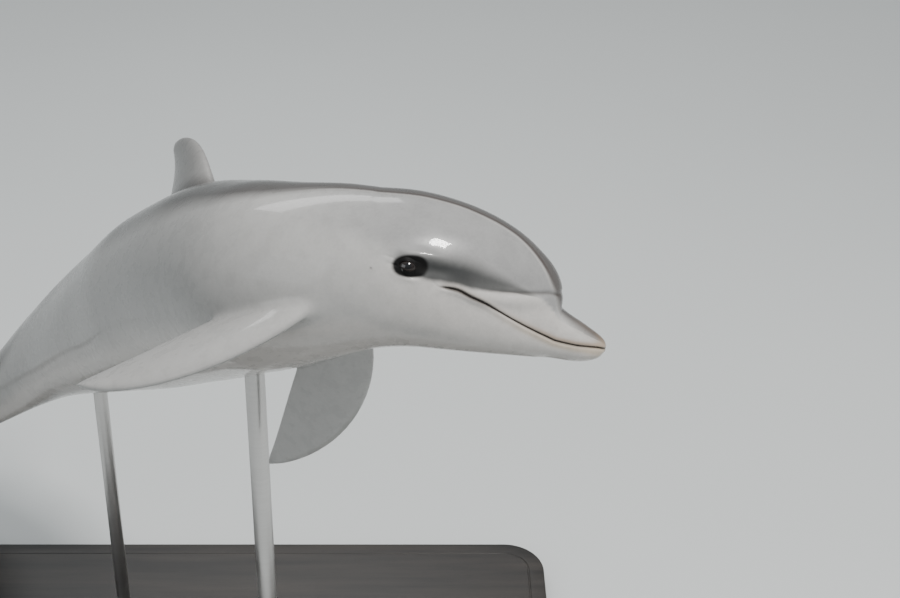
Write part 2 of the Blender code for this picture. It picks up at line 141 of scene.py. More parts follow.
# ------------------------------------------------------------------ form of the animal
@dataclass
class BodyForm:
    """Named sections of the body: station, top, bottom, half width and roundness.

    Args:
        trunk: Sections behind the head.
        jaw: Sections of the beak, the jaw and the head under the melon.
        melon: Sections of the melon, which are round.
        mouth: Station and height of the mouth line.
        crease: Station and height of the crease at the foot of the melon.
        crease_blend: How widely the melon and the beak run together.
        crease_fade: Metres before the head's end over which that narrows to nothing.
        nose_room: Metres from the tip to the first row.
        probe: Half step back for a direction on the outline.
        probe_turn: Half step round for one.
        side_search: First and last angle and count of the places tried on the side.
    """

    trunk: Rows = (
        (0.300, 0.096, -0.106, 0.099, 2.05),
        (0.378, 0.106, -0.116, 0.110, 2.05),
        (0.480, 0.121, -0.127, 0.122, 2.10),
        (0.640, 0.135, -0.133, 0.131, 2.10),
        (0.790, 0.134, -0.129, 0.126, 2.05),
        (0.930, 0.119, -0.117, 0.108, 2.00),
        (1.070, 0.098, -0.100, 0.085, 1.95),
        (1.185, 0.080, -0.082, 0.063, 1.85),
        (1.300, 0.062, -0.062, 0.042, 1.75),
        (1.410, 0.045, -0.044, 0.027, 1.75),
        (1.500, 0.031, -0.030, 0.021, 1.80),
        (1.560, 0.019, -0.018, 0.018, 2.00),
        (1.600, 0.009, -0.009, 0.012, 2.00),
        (1.613, 0.003, -0.003, 0.004, 2.00),
    )
    jaw: Rows = (
        (-0.0060, -0.0265, -0.0285, 0.0010, 2.00),
        (-0.0030, -0.0200, -0.0370, 0.0100, 2.00),
        (0.0035, -0.0150, -0.0440, 0.0170, 2.10),
        (0.0250, -0.0070, -0.0535, 0.0245, 2.20),
        (0.0640, 0.0060, -0.0600, 0.0345, 2.30),
        (0.0800, 0.0180, -0.0640, 0.0410, 2.45),
        (0.1000, 0.0280, -0.0680, 0.0490, 2.60),
        (0.1500, 0.0430, -0.0790, 0.0640, 2.50),
        (0.2100, 0.0600, -0.0920, 0.0820, 2.20),
        (0.2600, 0.0830, -0.1010, 0.0920, 2.05),
        (0.3000, 0.0960, -0.1060, 0.0990, 2.05),
    )
    melon: Rows = (
        (0.064, 0.006, -0.010, 0.0040),
        (0.067, 0.020, -0.020, 0.0170),
        (0.077, 0.039, -0.026, 0.0290),
        (0.091, 0.053, -0.032, 0.0385),
        (0.108, 0.064, -0.038, 0.0475),
        (0.132, 0.076, -0.046, 0.0585),
        (0.155, 0.084, -0.054, 0.0665),
        (0.183, 0.090, -0.064, 0.0750),
        (0.210, 0.093, -0.076, 0.0820),
        (0.260, 0.095, -0.096, 0.0930),
        (0.300, 0.096, -0.106, 0.0990),
    )
    mouth: Rows = (
        (-0.006, -0.0265), (0.004, -0.0265), (0.018, -0.0285), (0.038, -0.0315), (0.062, -0.0325),
        (0.078, -0.0300), (0.123, -0.0210), (0.147, -0.0150), (0.169, -0.0095), (0.186, -0.0070),
        (0.205, -0.0035), (0.226, -0.0070),
    )
    crease: Rows = (
        (0.060, 0.0190), (0.076, 0.0220), (0.087, 0.0220), (0.103, 0.0190), (0.128, 0.0130),
        (0.153, 0.0080), (0.177, 0.0045), (0.217, 0.0035), (0.238, 0.0020), (0.262, 0.0010),
    )
    tip_station: float = -0.006
    melon_station: float = 0.064
    head_station: float = 0.300
    mouth_corner: float = 0.226
    tail_station: float = 1.612
    crease_blend: float = 0.009
    crease_fade: float = 0.06
    nose_room: float = 0.0004
    probe: float = 0.0006
    probe_turn: float = 0.01
    side_search: Tuple[int, int, int] = (25, 165, 351)

    def __post_init__(self) -> None:
        """Works out the mouth line's angle along the beak once."""
        self.mouth_xs = np.linspace(self.tip_station + self.nose_room, self.mouth_corner, 120)
        zs = smooth_rows(self.mouth, self.mouth_xs)[:, 0]
        self.mouth_angles = np.array([self.theta_at(float(a), float(z))
                                      for a, z in zip(self.mouth_xs, zs)])

    @staticmethod
    def _reach(theta: Array, rows: Array, centre: Array) -> Array:
        """Distance to a superellipse along theta from the section's centre."""
        top, bottom, wide, power = rows.T
        s, c = np.sin(theta), np.cos(theta)
        mid, half = (top + bottom) / 2, (top - bottom) / 2
        low, high = np.zeros_like(theta), np.full_like(theta, FARTHEST)
        for _ in range(HALVINGS):
            m = (low + high) / 2
            f = np.abs(m * s / wide) ** power + np.abs((centre + m * c - mid) / half) ** power
            low, high = np.where(f < 1, m, low), np.where(f < 1, high, m)
        return low

    def section(self, x: Array, theta: Array) -> Tuple[Array, Array]:
        """Reach and centre height of the outline.

        Args:
            x: Stations.
            theta: Angles, 0 up and positive to the left.
        Returns:
            The reach along each angle and the height it is measured from.
        """
        x, theta = np.broadcast_arrays(np.asarray(x, float), np.asarray(theta, float))
        x, theta = x.ravel(), theta.ravel()
        fore = x < self.head_station
        rows = np.where(fore[:, None], smooth_rows(self.jaw, np.minimum(x, self.head_station)),
                        smooth_rows(self.trunk, np.maximum(x, self.head_station)))
        centre = (rows[:, 0] + rows[:, 1]) / 2
        reach = self._reach(theta, rows, centre)
        on = fore & (x > self.melon_station)
        top, bottom, wide = held_rows(self.melon, x).T
        s, c = np.sin(theta), np.cos(theta)
        mid, half = (top + bottom) / 2, (top - bottom) / 2
        a = (s / wide) ** 2 + (c / half) ** 2
        b = 2 * c * (centre - mid) / half**2
        disc = b * b - 4 * a * (((centre - mid) / half) ** 2 - 1)
        melon = np.where(disc > 0, (-b + np.sqrt(np.maximum(disc, 0))) / (2 * a), 0.0)
        k = self.crease_blend * np.clip((self.head_station - x) / self.crease_fade, 1e-4, 1.0)
        h = np.clip(0.5 + 0.5 * (melon - reach) / k, 0, 1)
        joined = reach * (1 - h) + melon * h + k * h * (1 - h)
        return np.where(on, joined, reach), centre

    def point(self, x: Array, theta: Array) -> Array:
        """Points of the plain outline in the straight pose."""
        x, theta = np.broadcast_arrays(np.asarray(x, float), np.asarray(theta, float))
        reach, centre = self.section(x, theta)
        x, theta = x.ravel(), theta.ravel()
        return np.stack([x, reach * np.sin(theta), centre + reach * np.cos(theta)], 1)

    def normal(self, x: Array, theta: Array) -> Array:
        """Outward directions of the plain outline in the straight pose."""
        x, theta = np.asarray(x, float), np.asarray(theta, float)
        ahead = np.maximum(x - self.probe, self.tip_station + self.nose_room / 4)
        behind = np.minimum(x + self.probe, self.tail_station)
        along = self.point(behind, theta) - self.point(ahead, theta)
        around = self.point(x, theta + self.probe_turn) - self.point(x, theta - self.probe_turn)
        n = np.cross(along, around)
        return n / np.maximum(np.linalg.norm(n, axis=1), TINY)[:, None]

    def theta_at(self, x: float, z: float) -> float:
        """Angle on the left side where the outline stands at height z."""
        first, last, count = self.side_search
        theta = np.linspace(math.radians(first), math.radians(last), count)
        return float(np.interp(-z, -self.point(x, theta)[:, 2], theta))

    def mouth_theta(self, x: Array) -> Array:
        """Angle of the mouth line, carried straight on behind its corner."""
        return np.interp(x, self.mouth_xs, self.mouth_angles)


@dataclass
class Spine:
    """The curved line that carries the sections, with a frame at each station.

    Args:
        rows: Station, then the turn out of the leaning plane, rise in it and roll there, in degrees.
        lean: How far that plane leans back about the world's X axis, in degrees.
        anchor_station: The station that is pinned to the anchor.
        anchor: Its place in the world.
        start: First station of the line.
        length: Last station of the line.
        count: Number of frames.
    """

    rows: Rows = (
        (0.00, -5.5, -17.5, 8.5),
        (0.20, -5.5, -17.5, 8.5),
        (0.36, 26.0, 6.0, -18.0),
        (0.53, 62.0, 8.0, -18.0),
        (0.76, 55.0, 18.0, -18.0),
        (1.02, 50.0, 20.0, -20.0),
        (1.30, 36.0, 34.0, -10.0),
        (1.44, 26.0, 30.0, -6.0),
        (1.68, 26.0, 30.0, -6.0),
    )
    lean: float = 32.0
    anchor_station: float = 0.26
    anchor: Tuple[float, float, float] = (0.310, -0.235, 1.010)
    start: float = -0.01
    length: float = 1.75
    count: int = 701

    def __post_init__(self) -> None:
        """Works out the frame at every station."""
        self.xs = np.linspace(self.start, self.length, self.count)
        turn, rise, roll = np.radians(held_rows(self.rows, self.xs)).T
        fwd = np.stack([np.cos(turn) * np.cos(rise), np.cos(turn) * np.sin(rise), np.sin(turn)], 1)
        up = np.array([0, 1.0, 0]) - fwd * fwd[:, 1:2]
        up /= np.linalg.norm(up, axis=1)[:, None]
        left = np.cross(up, fwd)
        back = up * np.cos(roll)[:, None] - left * np.sin(roll)[:, None]
        pos = np.zeros_like(fwd)
        pos[1:] = np.cumsum(-(fwd[1:] + fwd[:-1]) / 2 * (self.xs[1] - self.xs[0]), 0)
        lean = math.radians(self.lean)
        upright = np.array([[1, 0, 0], [0, math.sin(lean), -math.cos(lean)],
                            [0, math.cos(lean), math.sin(lean)]])
        self.fwd, self.up = fwd @ upright.T, back @ upright.T
        self.left = np.cross(self.up, self.fwd)
        pos = pos @ upright.T
        self.pos = pos - self.at(pos, self.anchor_station) + np.array(self.anchor)

    def at(self, values: Array, x: Array) -> Array:
        """A field's value at the stations x."""
        return np.stack([np.interp(x, self.xs, values[:, i]) for i in range(3)], -1)

    def place(self, points: Array) -> Array:
        """Straight-pose points to the world."""
        p = np.atleast_2d(points)
        x = p[:, 0]
        return (self.at(self.pos, x) + self.at(self.left, x) * p[:, 1:2]
                + self.at(self.up, x) * p[:, 2:3])

    def unplace(self, points: Array, low: float, high: float) -> Array:
        """World points to the straight pose.

        Args:
            points: World points near the body.
            low: First station they may belong to.
            high: Last station they may belong to.
        Returns:
            Straight-pose points.
        """
        keep = (self.xs >= low) & (self.xs <= high)
        xs, pos, fwd = self.xs[keep], self.pos[keep], self.fwd[keep]
        p = np.atleast_2d(points)
        ahead = np.maximum.accumulate(p @ fwd.T - (pos * fwd).sum(1), axis=1)
        k = np.clip((ahead < 0).sum(1), 1, len(xs) - 1)
        rows = np.arange(len(p))
        a, b = ahead[rows, k - 1], ahead[rows, k]
        x = xs[k - 1] + np.clip(-a / np.maximum(b - a, 1e-9), 0, 1) * (xs[k] - xs[k - 1])
        d = p - self.at(self.pos, x)
        return np.stack([x, (d * self.at(self.left, x)).sum(1), (d * self.at(self.up, x)).sum(1)], 1)

    def direction(self, x: float, local: Sequence[float]) -> Array:
        """A (back, left, up) direction at station x, in the world."""
        v = (-self.at(self.fwd, x) * local[0] + self.at(self.left, x) * local[1]
             + self.at(self.up, x) * local[2])
        return v / np.linalg.norm(v)


FORM = BodyForm()
SPINE = Spine()


def stretch_at(station: float, theta: float) -> float:
    """Metres in the world for each metre of station, which the bend of the body changes."""
    half = 0.001
    a, b = SPINE.place(FORM.point(np.array([station - half, station + half]), theta))
    return float(np.linalg.norm(b - a)) / (2 * half)


# ------------------------------------------------------------------ relief of the skin
@dataclass(frozen=True)
class EyePlace:
    """Where an eyeball sits and how its lids open.

    Args:
        station: Station of its middle.
        height: Height of its middle in the straight pose.
        radius: Radius of the ball.
        proud: How far the ball stands out of the plain outline.
        half_length: Half length of the slit between the lids.
        upper: Height of the slit over its middle line.
        lower: Depth of the slit under it.
        tilt: Slope of the slit.
        lid: Thickness of the lids over the ball.
        body_across: Width of the head that the lids follow.
        probe: Steps back and round that find the way the eye looks.
    """

    station: float = 0.260
    height: float = 0.0005
    radius: float = 0.0125
    proud: float = 0.0040
    half_length: float = 0.0115
    upper: float = 0.0056
    lower: float = 0.0050
    tilt: float = math.radians(-20)
    lid: float = 0.0010
    body_across: float = 0.19
    probe: Tuple[float, float] = (0.004, 0.04)

    @property
    def angle(self) -> float:
        """Angle of the eye on the left side."""
        return FORM.theta_at(self.station, self.height)

    def centre(self, side: int) -> Tuple[Array, Array]:
        """World centre of the eyeball and the way it looks."""
        t = self.angle * side
        p, back, along = SPINE.place(np.concatenate([
            FORM.point(self.station, t), FORM.point(self.station + self.probe[0], t),
            FORM.point(self.station, t + self.probe[1])]))
        n = np.cross(back - p, along - p)
        n /= np.linalg.norm(n)
        if np.dot(n, SPINE.direction(self.station, (0, side, 0))) < 0:
            n = -n
        return p - n * (self.radius - self.proud), n

    def ball_height(self, a: Array, b: Array) -> Array:
        """Height of the eyeball over the plain outline at (a, b) from its middle."""
        d2 = np.minimum(a * a + b * b, self.radius**2 * 0.995)
        return np.sqrt(self.radius**2 - d2) - (self.radius - self.proud) + b * b / self.body_across


EYE = EyePlace()


@dataclass(frozen=True)
class Fold:
    """A ridge or a groove that follows a line.

    Args:
        height: Its height in metres, below 0 for a groove.
        middle: How far from the line it lies.
        width: Width of its section.
        run: Where along the line it starts, is full, starts to fade and ends.
        slope: How far it moves off the line for each metre along.
    """

    height: float
    middle: float
    width: float
    run: Tuple[float, float, float, float]
    slope: float = 0.0

    def at(self, across: Array, along: Array) -> Array:
        """Height at the offsets across and along the line."""
        off = across - self.middle - self.slope * along
        return self.height * bell(off, self.width) * between(along, *self.run)


@dataclass(frozen=True)
class Lid:
    """A curved fold of the lids: height, middle, bow, width, place of its top along and length."""

    height: float
    middle: float
    bow: float
    width: float
    back: float
    length: float

    def at(self, across: Array, along: Array) -> Array:
        """Height at the offsets across and along the lids."""
        off = across - self.middle - self.bow * (along - self.back) ** 2
        return self.height * bell(off, self.width) * bell(along - self.back, self.length)


@dataclass
class Relief:
    """Small forms of the skin, as a height over the plain outline.

    The crease's forms follow the melon's crease, the others the slit of the eye.  The ball of the
    eye lifts the skin within lid_reach of its radii, blended over lid_blend.
    """

    crease_sharp: Fold = Fold(-0.0022, 0.0, 0.0024, (0.070, 0.078, 0.12, 0.20))
    crease_soft: Fold = Fold(-0.0018, -0.006, 0.010, (0.09, 0.15, 0.225, 0.250))
    cheek: Fold = Fold(0.0024, 0.0090, 0.0075, (0.074, 0.10, 0.17, 0.23))
    brow: Fold = Fold(0.0034, 0.0145, 0.0080, (-0.080, -0.030, 0.004, 0.026))
    hollow: Fold = Fold(-0.0022, 0.0, 0.0075, (-0.080, -0.045, -0.026, -0.014))
    crow_lower: Fold = Fold(-0.0010, -0.002, 0.0014, (0.013, 0.017, 0.021, 0.034), 0.10)
    crow_upper: Fold = Fold(-0.0007, 0.004, 0.0013, (0.013, 0.017, 0.021, 0.034), 0.18)
    lid_under: Lid = Lid(-0.0009, -0.0112, 9, 0.0019, -0.003, 0.016)
    bag_under: Lid = Lid(0.0012, -0.0150, 7, 0.0024, -0.003, 0.020)
    lid_over: Lid = Lid(-0.0009, 0.0088, -10, 0.0013, 0.0, 0.015)
    lid_reach: float = 1.6
    lid_blend: float = 0.0032
    far_below: float = -0.02

    def __post_init__(self) -> None:
        """Reads the lines that the forms follow."""
        self.eye_angle = EYE.angle
        self.stretch = {side: stretch_at(EYE.station, side * self.eye_angle) for side in (-1, 1)}
        self.crease_x = np.linspace(0.05, 0.27, 120)
        zs = held_rows(FORM.crease, self.crease_x)[:, 0]
        self.crease_angle = np.array([FORM.theta_at(float(a), float(z))
                                      for a, z in zip(self.crease_x, zs)])

    def side_frame(self, x: Array, theta: Array) -> Tuple[Array, Array, Array]:
        """Reach, size of the angle from the top, and metric offset below the mouth line."""
        reach, _ = FORM.section(x, theta)
        turn = np.abs(np.arctan2(np.sin(theta), np.cos(theta)))
        return reach, turn, (turn - FORM.mouth_theta(x)) * reach

    def eye_frame(self, x: Array, theta: Array, reach: Array, turn: Array) -> Tuple[Array, ...]:
        """Metric offsets from the eye: back and up, then back along the lids and across them."""
        a = (x - EYE.station) * np.where(np.sin(theta) < 0, self.stretch[-1], self.stretch[1])
        b = -(turn - self.eye_angle) * reach
        c, s = math.cos(EYE.tilt), math.sin(EYE.tilt)
        return a, b, a * c + b * s, b * c - a * s

    def crease_offset(self, x: Array, turn: Array, reach: Array) -> Array:
        """Metres below the crease between melon and beak."""
        return (turn - np.interp(x, self.crease_x, self.crease_angle)) * reach

    def height(self, x: Array, theta: Array) -> Array:
        """Height of all the small forms.

        Args:
            x: Stations.
            theta: Angles.
        Returns:
            Metres outwards from the plain outline.
        """
        x, theta = np.asarray(x, float), np.asarray(theta, float)
        reach, turn, below = self.side_frame(x, theta)
        off = self.crease_offset(x, turn, reach)
        a, b, p, q = self.eye_frame(x, theta, reach, turn)
        h = self._mouth(x, below) + self._melon_foot(x, turn)
        h = h + sum(form.at(off, x) for form in (self.crease_sharp, self.crease_soft, self.cheek))
        h = h + sum(form.at(q, p) for form in (self.brow, self.hollow, self.lid_under, self.bag_under,
                                               self.lid_over, self.crow_lower, self.crow_upper))
        near = a * a + b * b < (EYE.radius * self.lid_reach) ** 2
        ball = np.where(near, EYE.ball_height(a, b) + EYE.lid, self.far_below)
        mix = np.clip(0.5 + 0.5 * (ball - h) / self.lid_blend, 0, 1)
        h = h * (1 - mix) + ball * mix + self.lid_blend * mix * (1 - mix)
        return h + self._body(x, theta, turn)

    @staticmethod
    def _mouth(x: Array, below: Array) -> Array:
        """Slit of the mouth with its lips, and the fold behind its corner."""
        on = between(x, -0.0070, -0.0040, 0.212, 0.229)
        deep = 0.0028 + 0.0010 * ease(0.17, 0.20, x)
        slit = -deep * bell(below, 0.00085 + 0.0010 * ease(0.14, 0.19, x))
        upper = 0.0009 * bell(below + 0.0030, 0.0022)
        lower = 0.0013 * bell(below - 0.0034, 0.0024) - 0.0003 * bell(below - 0.0095, 0.004)
        soft = 0.6 + 0.4 * ease(0.03, 0.08, x)
        corner = bell(x - 0.231 - 0.35 * np.maximum(below, 0), 0.0022)
        return on * (slit + (upper + lower) * soft) \
            - 0.0013 * corner * between(below, -0.004, 0.001, 0.008, 0.018)

    @staticmethod
    def _melon_foot(x: Array, turn: Array) -> Array:
        """Groove across the front of the melon's foot."""
        return -0.0012 * bell(x - 0.0690 - 0.029 * turn**2, 0.0018) * (1 - ease(0.30, 0.50, turn))

    @staticmethod
    def _body(x: Array, theta: Array, turn: Array) -> Array:
        """Nape, ridges of the tail stock and the slight unevenness of live flesh."""
        nape = -0.0020 * bell(x - 0.300, 0.028) * bell(turn, 0.7)
        ridges = bell(turn, 0.20) + bell(turn - math.pi, 0.20)
        keel = 0.0012 * between(x, 1.12, 1.30, 1.50, 1.58) * ridges
        waves = (np.sin(17 * x + 2.1 * np.cos(theta) + 0.6) * np.sin(3 * theta + 5 * x)
                 + 0.6 * np.sin(31 * x - 1.4 * np.sin(2 * theta)) * np.cos(2 * theta + 1.2))
        return nape + keel + 0.00045 * between(x, 0.30, 0.5, 1.2, 1.5) * waves


RELIEF = Relief()


def skin_point(x: Array, theta: Array, lift: Array = 0.0) -> Array:
    """World points of the finished skin.

    Args:
        x: Stations.
        theta: Angles.
        lift: Extra metres outwards.
    Returns:
        One world point for each.
    """
    x, theta = np.broadcast_arrays(np.atleast_1d(np.asarray(x, float)), np.asarray(theta, float))
    x, theta = x.ravel(), theta.ravel()
    base = FORM.point(x, theta)
    return SPINE.place(base + FORM.normal(x, theta) * (RELIEF.height(x, theta) + lift)[:, None])


# ------------------------------------------------------------------ skin mesh
class Covers(Enum):
    """What a patch of the skin covers, kept with each point."""

    BODY = 0
    FIN = 1
    INSIDE = 2


@dataclass
class Ring:
    """One closed row of skin points, ready to be given to a fresh loop.

    Args:
        station: Station of each point.
        angle: Angle of each point.
        lift: Metres over the relief, or over the plain outline where plain is true.
        plain: Leaves the relief out.
        world: Ready world places, where the points aren't on the body.
        covers: What the points cover.
        span: Fraction from root to tip on a fin, or down into an opening.
        turn: Place round a fin or an opening.
        part: Number of the fin or opening, 0 for none.
    """

    station: Array
    angle: Array
    lift: Array
    plain: bool = False
    world: Optional[Array] = None
    covers: Covers = Covers.BODY
    span: float = 0.0
    turn: Optional[Array] = None
    part: int = 0


@dataclass
class SkinMesh:
    """The skin's mesh: a grid over the body with openings and fins grown out of it.

    Args:
        upper: Columns from the mouth line up to the back.
        lower: Columns from the mouth line down to the belly.
        cheek: Columns between the lip and the crease.
        fold: Offsets of the columns beside the crease, in metres.
        near: Offsets of the columns beside the mouth line, in metres.
        spacing: Station and distance to the next row.
        even_run: Stations over which the columns become evenly spread.
        crease_end: Stations over which the crease's columns leave the crease.
        crease_drop: How far over the mouth line they end, as an angle.
        room_share: Share of the room that the close columns may take up.
    """

    upper: int = 48
    lower: int = 32
    cheek: int = 8
    fold: Tuple[float, ...] = (0, 0.0009, 0.0019, 0.0031, 0.0046, 0.0065)
    near: Tuple[float, ...] = (0, 0.0005, 0.0011, 0.0019, 0.0030, 0.0046, 0.0068, 0.0098)
    spacing: Rows = (
        (-0.006, 0.0006), (-0.002, 0.0008), (0.006, 0.0014), (0.055, 0.0014), (0.062, 0.0008),
        (0.085, 0.0009), (0.095, 0.0019), (0.230, 0.0019), (0.237, 0.0012), (0.296, 0.0012),
        (0.304, 0.0025), (0.330, 0.0036), (0.450, 0.0036),
        (0.550, 0.0100), (1.390, 0.0100), (1.420, 0.0055), (1.590, 0.0045), (1.612, 0.0020),
    )
    even_run: Tuple[float, float] = (0.240, 0.38)
    crease_end: Tuple[float, float] = (0.165, 0.215)
    crease_drop: float = 0.32
    room_share: float = 0.45
    bm: bmesh.types.BMesh = field(default_factory=bmesh.new)

    def __post_init__(self) -> None:
        """Lays out the rows and columns and makes the grid."""
        self.stations = self._stations()
        self.angles = self._angles(self.stations)
        v = self.bm.verts.layers
        self.lay = {n: v.float.new(n) for n in ("station", "angle", "lift", "span", "turn")}
        self.tag = {n: v.int.new(n) for n in ("plain", "covers", "part", "ready")}
        self.table = self._grid()

    def _stations(self) -> Array:
        """Stations of the rows, close together where the form is small."""
        knots = np.array(self.spacing)
        out = [FORM.tip_station + FORM.nose_room]
        while out[-1] < FORM.tail_station - 0.001:
            out.append(out[-1] + float(np.interp(out[-1], knots[:, 0], knots[:, 1])))
        out = np.array(out)
        return out[0] + (out - out[0]) * (FORM.tail_station - out[0]) / (out[-1] - out[0])

    def _angles(self, x: Array) -> Array:
        """Angles of the columns at each station, from under the belly round to it again."""
        middle = FORM.mouth_theta(x)
        reach = FORM.section(x, middle)[0]
        even = ease(*self.even_run, x)[:, None]
        near, fold = np.array(self.near), np.array(self.fold)
        crease = np.interp(x, RELIEF.crease_x, RELIEF.crease_angle)
        crease += (middle - self.crease_drop - crease) * ease(*self.crease_end, x)
        room = (middle - crease) * reach

        def scaled(offsets: Array, space: Array) -> Array:
            """Metric offsets as angles, drawn in where there is little room."""
            return offsets * (np.minimum(1.0, self.room_share * space / offsets[-1]) / reach)[:, None]

        def run(start: Array, stop: Array, count: int) -> Array:
            """Even steps from one angle to another, without the first."""
            return start[:, None] + (stop - start)[:, None] * np.arange(1, count + 1) / count

        lip = middle[:, None] - scaled(near, room)
        below = crease[:, None] + scaled(fold, room)[:, ::-1]
        above = crease[:, None] - scaled(fold, room)[:, 1:]
        cheek = run(lip[:, -1], below[:, 0], self.cheek)
        dome = run(above[:, -1], 0 * x, self.upper - self.cheek - len(near) - 2 * len(fold) + 3)
        up = np.concatenate([lip, cheek, below[:, 1:], above, dome], 1)
        uniform = middle[:, None] * (1 - np.arange(self.upper + 1) / self.upper)
        up = (up * (1 - even) + uniform * even)[:, ::-1]
        jaw = middle[:, None] + scaled(near, (math.pi - middle) * reach)
        down = np.concatenate([jaw, run(jaw[:, -1], 0 * x + math.pi, self.lower - len(near) + 1)], 1)
        uniform = middle[:, None] + (math.pi - middle)[:, None] * np.arange(self.lower + 1) / self.lower
        down = down * (1 - even) + uniform * even
        half = np.concatenate([up, down[:, 1:]], 1)
        return np.concatenate([-half[:, ::-1], half[:, 1:]], 1)

    def _grid(self) -> Dict[Tuple[int, int], bmesh.types.BMVert]:
        """Makes the grid, closes it under the belly and at both ends."""
        rows, columns = self.angles.shape
        bmesh.ops.create_grid(self.bm, x_segments=rows - 1, y_segments=columns - 1, size=0.5)
        table: Dict[Tuple[int, int], bmesh.types.BMVert] = {}
        for v in self.bm.verts:
            i = round((v.co.x + 0.5) * (rows - 1))
            j = round((v.co.y + 0.5) * (columns - 1))
            table[i, j] = v
            v[self.lay["station"]] = self.stations[i]
            v[self.lay["angle"]] = self.angles[i, j]
        weld = {table[i, columns - 1]: table[i, 0] for i in range(rows)}
        bmesh.ops.weld_verts(self.bm, targetmap=weld)
        for i in range(rows):
            table[i, columns - 1] = table[i, 0]
        for i in (0, rows - 1):
            ring = list(dict.fromkeys(table[i, j] for j in range(columns)))
            bmesh.ops.pointmerge(self.bm, verts=ring, merge_co=ring[0].co)
        return table

    def block(self, x0: float, x1: float, t0: float, t1: float) -> List[bmesh.types.BMVert]:
        """Takes a rectangle out of the grid.

        Args:
            x0: First station.
            x1: Last station.
            t0: Lowest angle.
            t1: Highest angle.
        Returns:
            The hole's rim, in order, starting at the middle of its front.
        """
        i0 = int(np.searchsorted(self.stations, x0)) - 1
        i1 = int(np.searchsorted(self.stations, x1))
        row = self.angles[(i0 + i1) // 2]
        j0 = int(np.searchsorted(row, t0)) - 1
        j1 = int(np.searchsorted(row, t1))
        i1 += (i1 - i0) % 2
        j1 += (j1 - j0) % 2
        inner = [self.table.pop((i, j)) for i in range(i0 + 1, i1) for j in range(j0 + 1, j1)]
        bmesh.ops.delete(self.bm, geom=inner, context="VERTS")
        mid = (j0 + j1) // 2
        keys = [(i0, j) for j in range(mid, j1)] + [(i, j1) for i in range(i0, i1)]
        keys += [(i1, j) for j in range(j1, j0, -1)] + [(i, j0) for i in range(i1, i0, -1)]
        keys += [(i0, j) for j in range(j0, mid)]
        return [self.table[k] for k in keys]

    def read(self, loop: Sequence[bmesh.types.BMVert]) -> Tuple[Array, Array]:
        """Stations and angles of a loop on the body."""
        return (np.array([v[self.lay["station"]] for v in loop]),
                np.array([v[self.lay["angle"]] for v in loop]))

    def grow(self, loop: List[bmesh.types.BMVert], ring: Ring) -> List[bmesh.types.BMVert]:
        """Extrudes a loop and gives the new points their place.

        Args:
            loop: The open loop to grow from.
            ring: Where the new points go.
        Returns:
            The new loop, in the same order.
        """
        n = len(loop)
        edges = [self.bm.edges.get((loop[k], loop[(k + 1) % n])) for k in range(n)]
        made = bmesh.ops.extrude_edge_only(self.bm, edges=edges)["geom"]
        fresh = {g for g in made if isinstance(g, bmesh.types.BMVert)}
        out = []
        for k, old in enumerate(loop):
            v = next(e.other_vert(old) for e in old.link_edges if e.other_vert(old) in fresh)
            v[self.lay["station"]], v[self.lay["angle"]] = ring.station[k], ring.angle[k]
            v[self.lay["lift"]], v[self.lay["span"]] = ring.lift[k], ring.span
            v[self.lay["turn"]] = 0.0 if ring.turn is None else ring.turn[k]
            v[self.tag["plain"]], v[self.tag["covers"]] = int(ring.plain), ring.covers.value
            v[self.tag["part"]] = ring.part
            v[self.tag["ready"]] = int(ring.world is not None)
            if ring.world is not None:
                v.co = Vector(ring.world[k])
            out.append(v)
        return out

    def close(self, loop: List[bmesh.types.BMVert]) -> None:
        """Draws a small loop together into one point."""
        middle = sum((v.co for v in loop), Vector()) / len(loop)
        bmesh.ops.pointmerge(self.bm, verts=loop, merge_co=middle)

    def settle(self) -> None:
        """Moves every point that rides on the body to its place in the world."""
        verts = [v for v in self.bm.verts if not v[self.tag["ready"]]]
        x = np.array([v[self.lay["station"]] for v in verts])
        t = np.array([v[self.lay["angle"]] for v in verts])
        lift = np.array([v[self.lay["lift"]] for v in verts])
        plain = np.array([v[self.tag["plain"]] for v in verts], bool)
        height = np.where(plain, 0.0, RELIEF.height(x, t)) + lift
        places = SPINE.place(FORM.point(x, t) + FORM.normal(x, t) * height[:, None])
        for v, p in zip(verts, places):
            v.co = p


